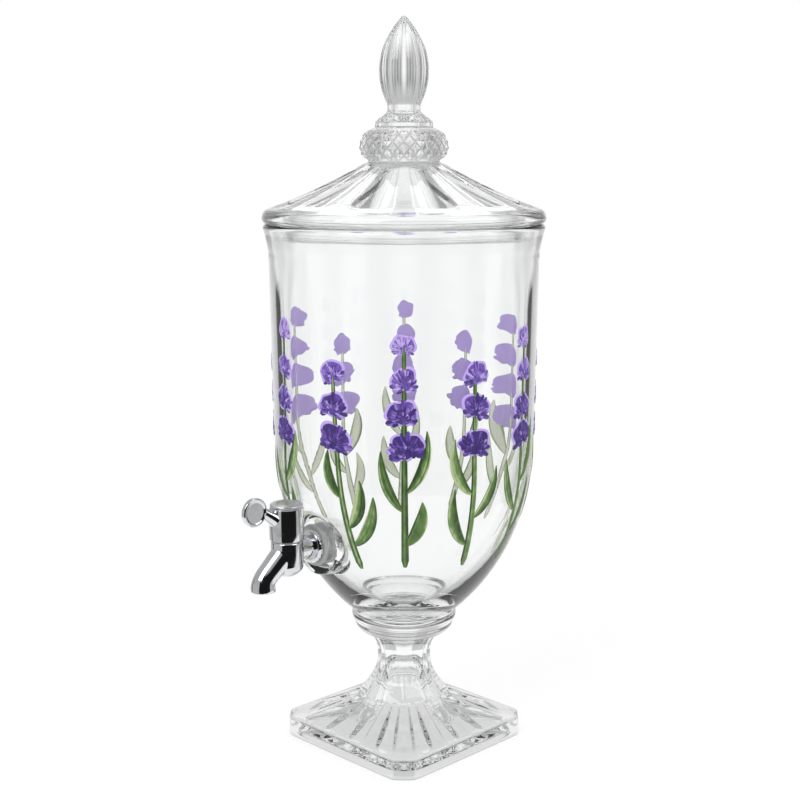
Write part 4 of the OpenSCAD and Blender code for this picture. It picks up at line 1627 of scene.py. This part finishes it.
    def cap(self) -> None:
        """Makes the cap: a brim that covers the hub's rim, with a low ring embossed on its top."""
        top, face, brim = self.cap_top, self.cap_top - self.cap_emboss, self.cap_brim
        seat = self.ledge_z + self.cap_seat + self.cap_fit
        foot = pairs((AXIS_R, self.cap_r), self.ledge_z + self.cap_foot)
        edge = [(self.cap_r, seat), *beside(brim, seat, self.cap_under), *beside(brim, face, self.cap_over)]
        ring = pairs(brim - np.array(self.cap_ring), (face, top, top, face))
        crown = [(self.cap_crown_r, face), (AXIS_R, face + self.cap_crown)]
        profile = rows(foot, rounded(edge), rounded([*ring, *crown]))
        piece = Piece("cap_button", SATIN, Body.HANDLE, ("handle_cap",), Slot.CHROME, sharp=35.0)
        piece.build(Skin().loft(self.on_barrel(profile, ring_angles(120))))

    def nut(self) -> None:
        """Makes the chamfered nut that holds the shank inside the tank."""
        angles = ring_angles(180)
        hexagon = self.nut_r * regular(angles, self.nut_sides, 0.0, self.nut_crisp)
        inner, outer = self.nut_x + self.skin_gap, self.nut_out - self.skin_gap
        share, chamfer = np.split(np.array(self.nut_chamfer), 2, axis=1)
        outside = self.tube(np.minimum(hexagon, chamfer), angles, inner + (outer - inner) * share)
        r, lead = self.gasket_bore, self.nut_lead
        bore = self.on_shank(rows([(r, outer), (r, self.nut_x + lead), (r + lead, inner)]), angles)
        piece = Piece("shank_nut", PLASTIC, Body.VESSEL, ("inner_nut",), Slot.PLASTIC, sharp=25.0)
        piece.build(Skin().loft(np.concatenate([outside, bore]), loop=True))

    def gasket(self, name: str, node: str, low: float, high: float) -> None:
        """Makes one gasket as a ring with soft edges.

        Args:
            name: Name of the piece.
            node: CAD node that it stands for.
            low: Distance of its inner face from the urn's axis.
            high: Distance of its outer face.
        """
        radii = (self.gasket_bore, self.gasket_r)
        inside, outside = pairs(radii, low + self.skin_gap), pairs(radii[::-1], high - self.skin_gap)
        piece = Piece(name, SILICONE, Body.VESSEL, (node,), Slot.SILICONE)
        rim = rounded(rows(inside, outside), 3)
        piece.build(Skin().loft(self.on_shank(rim, ring_angles(120)), loop=True))

    def build(self) -> None:
        """Makes the whole tap."""
        self.casting()
        self.shank()
        self.hub()
        self.lever()
        self.cap()
        self.nut()
        self.gasket("gasket_outer", "outer_gasket", self.face_x, self.collar_x)
        self.gasket("gasket_inner", "inner_gasket", self.gasket_x, self.back_x)


# Painted decoration


class Height(Enum):
    """Heights of the flower spikes, as the number of their blooms."""

    TALL = 4
    SHORT = 3


@dataclass(frozen=True)
class Brush:
    """How strokes of enamel are laid: sizes in millimetres, tones, and spans that random values come from."""

    lanes: int = 11
    sunk: float = 0.12
    film: float = 0.05
    streak: float = 0.36
    undercoat: float = 2.0
    tone_at: Colour = (-0.8, 0.0, 0.8)
    stem_lift: float = 0.36
    stem_ends: float = 0.45
    stem_tones: Colour = (0.1, 0.62, 0.25)
    leaf_lift: float = 0.42
    leaf_crown: float = 0.7
    leaf_start: Span = (46.0, 60.0)
    leaf_stop: Span = (-14.0, 4.0)
    leaf_curl: float = 0.8
    leaf_ends: Span = (0.04, 0.94)
    leaf_belly: float = 0.85
    leaf_swell: float = 0.8
    leaf_dark: Span = (0.05, 0.2)
    leaf_light: Span = (0.6, 0.95)
    leaf_middle: Span = (0.45, 0.4)
    leaf_flip: Span = (-0.4, 1.0)
    daub_lanes: int = 7
    daub_round: int = 3
    daub_least: float = 0.02
    daub_sides: Colour = (-0.15, 0.0, 0.25)
    daub_range: Span = (0.0, 1.1)


@dataclass(frozen=True)
class Cluster:
    """Form of one cluster of florets, mostly as shares of its size, with spans for its random values."""

    edge: float = 0.9
    edge_wave: Span = (-0.08, 0.08)
    edge_phase: Span = (0.0, 6.28)
    edge_orders: tuple[int, ...] = (1, 2, 3, 5)
    rings: tuple[float, ...] = (0.08, 0.35, 0.6, 0.8, 0.93, 1.0, 0.93, 0.1)
    face_rings: int = 4
    back_rings: int = 2
    ground: float = 0.55
    ground_tone: Span = (0.05, 0.6)
    lift: float = 0.9
    lift_loss: float = 0.4
    tilt: Span = (-20.0, 20.0)
    root: float = -0.5
    daubs: tuple[int, int] = (17, 23)
    layers: Colour = (1.0, 0.72, 0.46)
    layer_less: int = 4
    layer_width: Span = (0.75, 0.25)
    layer_lift: Span = (0.7, 0.2)
    fan: float = 236.0
    aim: Span = (-9.0, 9.0)
    reach_up: float = 1.5
    reach_down: float = 0.55
    length: Span = (0.76, 1.08)
    start: float = 0.4
    short: float = 0.8
    width: Span = (0.1, 0.16)
    values: Colour = (-0.1, 0.12, 0.4)
    odds: Colour = (0.42, 0.38, 0.2)
    value: Span = (-0.1, 0.1)
    paler: float = 0.7


@dataclass
class Sprigs:
    """Ring of raised enamel flower spikes, evenly spaced round the tank with the tap between two of them."""

    tank: Tank
    count: int = 12
    seed: int = 7
    stem_foot: float = 116.0
    stem_drop: Span = (-3.0, 5.0)
    stem_sway: Span = (-3.5, 3.5)
    stem_bow: float = 1.6
    stem_widths: Span = (4.2, 2.2)
    tap_lean: float = 8.0
    leaves: int = 3
    leaf_first: Span = (0.1, 0.16)
    leaf_step: float = 0.12
    leaf_length: Span = (27.0, 40.0)
    leaf_width: Span = (5.6, 7.6)
    bloom_foot: float = 190.0
    bloom_drop: Span = (-5.0, 3.0)
    bloom_step: float = 18.0
    bloom_up: Span = (-1.5, 1.5)
    bloom_aside: Span = (-1.6, 1.6)
    first_bloom: Span = (23.0, 16.5)
    last_bloom: Span = (14.5, 13.0)
    lean_step: float = 0.5
    brush: Brush = Brush()
    cluster: Cluster = Cluster()

    def __post_init__(self) -> None:
        """Seeds the random draws."""
        self.draw = np.random.default_rng(self.seed)

    def pick(self, span: Span) -> float:
        """Draws one value from a span."""
        return self.draw.uniform(*span)

    def on_wall(self, centre: float, at: Array, off: Array) -> Array:
        """Points that stand off the tank's wall.

        Args:
            centre: Angle of the sprig round the tank, in degrees.
            at: Distance round the wall from the sprig's middle, and height.
            off: Distance from the wall along its normal.

        Returns:
            The points in the frame of the part.
        """
        u, z = at[..., 0], at[..., 1]
        r = self.tank.outside(z)
        lean = self.tank.outside(z + self.lean_step) - self.tank.outside(z - self.lean_step)
        norm = np.sqrt(1 + lean**2)
        return polar(r + off / norm, centre + np.degrees(u / r), z - off * lean / norm)

    def stroke(
        self,
        skin: Skin,
        centre: float,
        line: Array,
        half: Array,
        lift: Array,
        tones: Colour,
        lanes: int,
    ) -> None:
        """Lays one raised brush stroke on the glass.

        Args:
            skin: Skin that gets the stroke.
            centre: Angle of the sprig round the tank, in degrees.
            line: Middle of the stroke, as the distance round the wall and the height.
            half: Half width along the line.
            lift: Height of the paint along the line.
            tones: Tone of the enamel at its left side, middle and right side.
            lanes: Number of brush lines across the stroke.
        """
        brush = self.brush
        top = np.sin(np.linspace(-math.pi / 2, math.pi / 2, lanes))
        across = np.append(top, [0.5, -0.5])
        up = np.append(np.sqrt(np.maximum(1 - top**2, 0)), [0.0, 0.0])
        bristles = self.draw.uniform(-brush.streak, brush.streak, lanes)
        tone = np.append(np.interp(top, brush.tone_at, tones) + bristles, [brush.undercoat] * 2)
        aside = (heading(line)[:, ::-1] * (1.0, -1.0))[:, None]
        place = line[:, None] + across[:, None] * half[:, None, None] * aside
        skin.loft(self.on_wall(centre, place, up * lift[:, None] - brush.sunk), tone=tone[None])

    def leaf(self, skin: Skin, centre: float, root: Array, side: int, length: float, width: float) -> None:
        """Lays one leaf that leaves the stem sideways and turns upright.

        Args:
            skin: Skin that gets it.
            centre: Angle of the sprig.
            root: Its place on the stem.
            side: 1 for a leaf to the right and -1 for one to the left.
            length: Length along its middle.
            width: Width across it.
        """
        brush, t = self.brush, np.linspace(0, 1, 22)
        start, stop = self.pick(brush.leaf_start), self.pick(brush.leaf_stop)
        aim = np.radians(start + (stop - start) * t**brush.leaf_curl) * side
        line = root + np.cumsum(pairs(np.sin(aim), np.cos(aim)), axis=0) * (length / (len(t) - 1))
        first, run = brush.leaf_ends
        swell = np.clip(np.sin(math.pi * (first + run * t) ** brush.leaf_belly), 0, 1) ** brush.leaf_swell
        dark, light = self.pick(brush.leaf_dark), self.pick(brush.leaf_light)
        lit = side * self.pick(brush.leaf_flip) > 0
        tones = (dark, brush.leaf_middle[0], light) if lit else (light, brush.leaf_middle[1], dark)
        lift = brush.leaf_lift * swell**brush.leaf_crown + brush.film
        self.stroke(skin, centre, line, width / 2 * swell, lift, tones, brush.lanes)

    def daub(self, skin: Skin, centre: float, ends: Array, width: float, lift: float, tone: float) -> None:
        """Lays one short stroke with round ends, paler along one side.

        Args:
            skin: Skin that gets it.
            centre: Angle of the sprig.
            ends: Its two ends.
            width: Width across it.
            lift: Height of the paint.
            tone: Tone of its middle.
        """
        brush, t = self.brush, np.linspace(-1, 1, 9)
        swell = np.sqrt(np.maximum(1 - np.abs(t) ** brush.daub_round, brush.daub_least))
        line = ends[0] + (ends[1] - ends[0]) * (0.5 + 0.5 * t[:, None])
        tones = np.clip(tone + np.array(brush.daub_sides), *brush.daub_range)[:: self.draw.choice([-1, 1])]
        self.stroke(skin, centre, line, width / 2 * swell, lift * swell + brush.film, tones, brush.daub_lanes)

    def ground(self, half: Array, share: float, paint: float) -> tuple[Array, Array, Array]:
        """Uneven ground coat of a bloom.

        Args:
            half: Half of the bloom's width and height.
            share: Its place up the spike, from 0 to 1.
            paint: Height of the paint.

        Returns:
            Places of its points round the bloom's middle, their distance from the wall, and their tone.
        """
        form, a = self.cluster, np.radians(ring_angles(48))
        edge = np.full(len(a), form.edge)
        for order in form.edge_orders:
            edge += self.pick(form.edge_wave) * np.cos(order * a + self.pick(form.edge_phase))
        rho = np.array(form.rings)[:, None]
        reach = rho * edge
        off = form.ground * paint * np.sqrt(1 - rho**4)
        off[-form.back_rings :] = 0.0
        dark, rise = form.ground_tone
        face = np.arange(len(rho))[:, None] < form.face_rings
        tone = np.where(face, dark + rise * share, self.brush.undercoat)
        return half * pairs(reach * np.cos(a), reach * np.sin(a)), off - self.brush.sunk, tone

    def bloom(self, skin: Skin, centre: float, at: Array, size: Array, share: float) -> None:
        """Lays one cluster of florets: an uneven ground coat under daubs that fan out from its foot.

        Args:
            skin: Skin that gets it.
            centre: Angle of the sprig.
            at: Its middle.
            size: Width and height.
            share: Its place up the spike, from 0 to 1.
        """
        form, half = self.cluster, size / 2
        paint = form.lift * (1 - form.lift_loss * share)
        coat, off, tone = self.ground(half, share, paint)
        tilt = math.radians(self.pick(form.tilt))
        turn = np.array([[math.cos(tilt), math.sin(tilt)], [-math.sin(tilt), math.cos(tilt)]])
        skin.loft(self.on_wall(centre, coat @ turn + at, off), tone=tone)
        root = np.array([0.0, form.root * half[1]])
        most = int(self.draw.integers(*form.daubs))
        for layer, reach in enumerate(form.layers):
            count = most - form.layer_less * layer
            lift = paint * (form.layer_lift[0] + form.layer_lift[1] * layer)
            widen = form.layer_width[0] + form.layer_width[1] * reach
            for k in range(count):
                aim = math.radians(form.fan * ((k + 0.5) / count - 0.5) + self.pick(form.aim))
                way = np.array([math.sin(aim), math.cos(aim)])
                far = half * (1.0, form.reach_up if way[1] > 0 else form.reach_down)
                length = reach * self.pick(form.length) / np.linalg.norm(way / far)
                ends = root + way * np.array([[length * form.start], [length - form.short]])
                width = self.pick(form.width) * size[0] * widen
                value = self.draw.choice(form.values, p=form.odds) + form.paler * share
                self.daub(skin, centre, ends @ turn + at, width, lift, value + self.pick(form.value))

    def sprig(self, number: int) -> None:
        """Lays one sprig: its stem and leaves in green, and its blooms in violet.

        Args:
            number: Its place in the ring.
        """
        brush, t = self.brush, np.linspace(0, 1, 30)
        centre = TAP_AT + FULL_TURN * (number + 0.5) / self.count
        height = Height.TALL if number % 2 else Height.SHORT
        from_tap = {0: 1, self.count - 1: -1}.get(number, 0)
        foot = self.stem_foot + self.pick(self.stem_drop)
        sway = self.tap_lean * from_tap if from_tap else self.pick(self.stem_sway)
        base = self.bloom_foot + self.pick(self.bloom_drop)
        top = base + self.bloom_step * (height.value - 1)
        stem = pairs(sway * (1 - t) ** self.stem_bow, foot + (top - foot) * t)
        half = np.interp(t, [0, 1], self.stem_widths) / 2
        half[[0, -1]] *= brush.stem_ends
        greens, blooms = Skin(), Skin()
        lift = np.full(len(t), brush.stem_lift)
        self.stroke(greens, centre, stem, half, lift, brush.stem_tones, brush.lanes)
        for k in range(self.leaves):
            along = self.pick(self.leaf_first) + self.leaf_step * k
            root = np.array([np.interp(along, t, stem[:, 0]), np.interp(along, t, stem[:, 1])])
            side = (1 if (k + number) % 2 else -1) * (-1 if from_tap > 0 and k == 0 else 1)
            self.leaf(greens, centre, root, side, self.pick(self.leaf_length), self.pick(self.leaf_width))
        for k in range(height.value):
            share = k / (Height.TALL.value - 1)
            size = np.add(self.first_bloom, np.subtract(self.last_bloom, self.first_bloom) * share)
            z = base + self.bloom_step * k + self.pick(self.bloom_up)
            x = np.interp(z, stem[:, 1], stem[:, 0]) + self.pick(self.bloom_aside)
            self.bloom(blooms, centre, np.array([x, z]), size, share)
        Piece(f"sprig_{number:02d}_leaves", LEAF, Body.VESSEL).build(greens)
        Piece(f"sprig_{number:02d}_blooms", PETAL, Body.VESSEL).build(blooms)

    def build(self) -> None:
        """Makes every sprig of the ring."""
        for number in range(self.count):
            self.sprig(number)


# Studio


@dataclass(frozen=True)
class Lamp:
    """Square soft lamp that faces the middle of the object: place and size in metres, power in watts."""

    name: str
    azimuth: float
    reach: float
    height: float
    power: float
    size: float = 0.9
    aim_z: float = 0.2

    def hang(self) -> None:
        """Adds the lamp to the scene, unseen by the camera and through glass."""
        data = bpy.data.lights.new(self.name, "AREA")
        data.shape = "SQUARE"
        data.size = self.size
        data.energy = self.power
        made = bpy.data.objects.new(self.name, data)
        turn = math.radians(self.azimuth)
        made.location = (self.reach * math.sin(turn), -self.reach * math.cos(turn), self.height)
        made.rotation_euler = (math.atan2(self.reach, self.height - self.aim_z), 0.0, turn)
        made.visible_camera = False
        made.visible_transmission = False
        bpy.context.scene.collection.objects.link(made)


@dataclass
class Studio:
    """White surround, pale floor, soft lamps and the photo's camera."""

    camera_reach: float = 801.74
    camera_z: float = 348.19
    camera_azimuth: float = 45.0
    camera_tilt: float = 10.39
    lens: float = 64.0
    sensor: float = 36.0
    shift_x: float = -0.005
    clip: Span = (0.05, 50.0)
    mirror_side: float = 0.55
    glass_side: float = 0.58
    screens: int = 8
    screen_edge: Span = (-0.9, 0.5)
    window: Span = (0.82, 1.0)
    sky: float = 0.5
    sky_from: Span = (0.02, 0.45)
    dark: float = 0.012
    dark_turn: float = 20.0
    dark_from: Span = (0.58, 0.66)
    dark_top: Span = (0.55, 0.75)
    strip_rise: Span = (0.25, 0.31)
    strip_fall: Span = (0.39, 0.45)
    strip_level: float = 0.06
    ambient: float = 0.8
    ambient_through: float = 2.5
    floor_r: float = 0.4
    floor_colours: tuple[Colour, Colour] = ((0.93, 0.93, 0.93), (0.9, 0.9, 0.9))
    floor_grain: Span = (30.0, 3.0)
    floor_share: float = 0.75
    floor_fade: Span = (0.12, 0.38)
    # Painted shadow seen through glass: glow level from the axis outwards, and the reach over which it clears
    floor_painted_shadow: Span = (0.7, 1.0)
    painted_shadow_clear: Span = (0.02, 0.17)
    lamps: tuple[Lamp, ...] = (
        Lamp("key", 5.0, 1.1, 1.25, 9.0),
        Lamp("fill", 110.0, 1.2, 1.0, 5.0),
        Lamp("back", 225.0, 1.1, 1.3, 5.0),
    )

    def camera(self) -> None:
        """Sets the camera at the photo's viewing angle."""
        data = bpy.data.cameras.new("camera")
        data.lens, data.sensor_width, data.shift_x = self.lens, self.sensor, self.shift_x
        data.clip_start, data.clip_end = self.clip
        made = bpy.data.objects.new("camera", data)
        turn, reach = math.radians(self.camera_azimuth), self.camera_reach * MM
        made.location = (reach * math.sin(turn), -reach * math.cos(turn), self.camera_z * MM)
        made.rotation_euler = (math.radians(90 - self.camera_tilt), 0.0, turn)
        bpy.context.scene.collection.objects.link(made)
        bpy.context.scene.camera = made

    def surround(self) -> None:
        """White to the camera, white screens with grey gaps to glass, grey sides and dark front to metal."""
        world = bpy.data.worlds.new("studio")
        world.use_nodes = True
        bpy.context.scene.world = world
        graph = Graph(world.node_tree)
        way = graph.node("ShaderNodeTexCoord", out="Generated")
        x, y, z = (graph.node("ShaderNodeSeparateXYZ", inputs={0: way}, out=axis) for axis in "XYZ")
        heading_to = graph.node("ShaderNodeMath", {"operation": "ARCTAN2"}, {0: y, 1: x})
        through = graph.ray("Is Transmission Ray")
        turn = heading_to - math.radians(90.0 + self.camera_azimuth)
        behind = turn.cosine()
        screens = (turn * self.screens).cosine().step(*self.screen_edge)
        white = behind.step(*self.window).toward(screens, through)
        level = through.between(self.mirror_side, self.glass_side).toward(1.0, white)
        strip = behind.step(*self.strip_rise) * (1.0 - behind.step(*self.strip_fall))
        level = level.toward(self.strip_level, strip)
        level = level.toward(self.sky, z.step(*self.sky_from))
        facing = (heading_to - math.radians(self.camera_azimuth - 90.0 + self.dark_turn)).cosine()
        front = facing.step(*self.dark_from) * (1.0 - z.step(*self.dark_top)) * (1.0 - through)
        level = level.toward(self.dark, front)
        ambient = through.between(self.ambient, self.ambient_through)
        level = level.toward(ambient, graph.ray("Diffuse Depth").step(0.0, 1.0))
        level = level.toward(1.0, graph.ray("Is Camera Ray"))
        light = graph.node("ShaderNodeBackground", inputs={"Color": WHITE, "Strength": level})
        graph.node("ShaderNodeOutputWorld", inputs={"Surface": light})

    def paint(self) -> bpy.types.Material:
        """Paint of the floor: it takes the object's shadow and turns white away from it, and to rays through
        the glass it shows a painted shadow that is darker near the object's axis.

        Returns:
            The material.
        """
        made = bpy.data.materials.new("floor")
        made.use_nodes = True
        graph = Graph(made.node_tree)
        kinds = ("Camera", "Glossy", "Transmission")
        camera, glossy, through = (graph.ray(f"Is {kind} Ray") for kind in kinds)
        pale = graph.blend(graph.noise(*self.floor_grain), *self.floor_colours)
        matt = graph.node("ShaderNodeBsdfDiffuse", inputs={"Color": pale})
        at = graph.node("ShaderNodeTexCoord", out="Object")
        away = graph.node("ShaderNodeVectorMath", {"operation": "LENGTH"}, {0: at}, out="Value")
        # Painted shadow: the glow seen through glass dims towards the object's axis
        painted_shadow = 1.0 - away.step(*self.painted_shadow_clear).between(*self.floor_painted_shadow)
        glow = graph.node("ShaderNodeEmission", inputs={"Color": WHITE, "Strength": 1.0 - painted_shadow * through})
        share = (camera + glossy + through) * away.step(*self.floor_fade).between(self.floor_share, 1.0)
        both = graph.node("ShaderNodeMixShader", inputs={0: share, 1: matt, 2: glow})
        graph.node("ShaderNodeOutputMaterial", inputs={"Surface": both})
        return made

    def floor(self) -> None:
        """Lays the round floor under the object."""
        data = bpy.data.meshes.new("floor")
        rim = polar(self.floor_r, ring_angles(96), 0.0)
        data.from_pydata(rim.tolist(), [], [list(range(len(rim)))])
        data.materials.append(self.paint())
        plane = bpy.data.objects.new("floor", data)
        bpy.context.scene.collection.objects.link(plane)

    def build(self) -> None:
        """Sets up the whole studio."""
        bpy.context.scene.view_settings.view_transform = "Standard"
        self.camera()
        self.surround()
        self.floor()
        for lamp in self.lamps:
            lamp.hang()


# CAD nodes that stay in view inside the tap
NODE_FINISH: dict[str, Finish] = {
    "inner_washer": PLASTIC,
    "bonnet_nut": PLASTIC,
    "plug": PLASTIC,
    "plug_seal_upper": RUBBER,
    "plug_seal_lower": RUBBER,
    "handle_screw": STEEL,
}


def dress_nodes(nodes: dict[str, bpy.types.Object]) -> None:
    """Gives the CAD nodes that stay in view their finishes.

    Args:
        nodes: Objects of the frame by the names of their nodes.
    """
    for name, finish in NODE_FINISH.items():
        nodes[name].data.materials.clear()
        nodes[name].data.materials.append(finish.material())
        LOG.info("node %s: %s", name, finish.name)


def corners(box: Any) -> list[list[float]]:
    """A box as plain lists."""
    return [list(corner) for corner in box]


def main() -> None:
    logging.basicConfig(level=logging.INFO, format="%(name)s: %(message)s")
    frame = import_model()
    tank = Tank()
    tank.build()
    Foot().build()
    Lid().build()
    Tap().build()
    Sprigs(tank).build()
    dress_nodes(frame["nodes"])
    Studio().build()


if __name__ == "__main__":
    main()
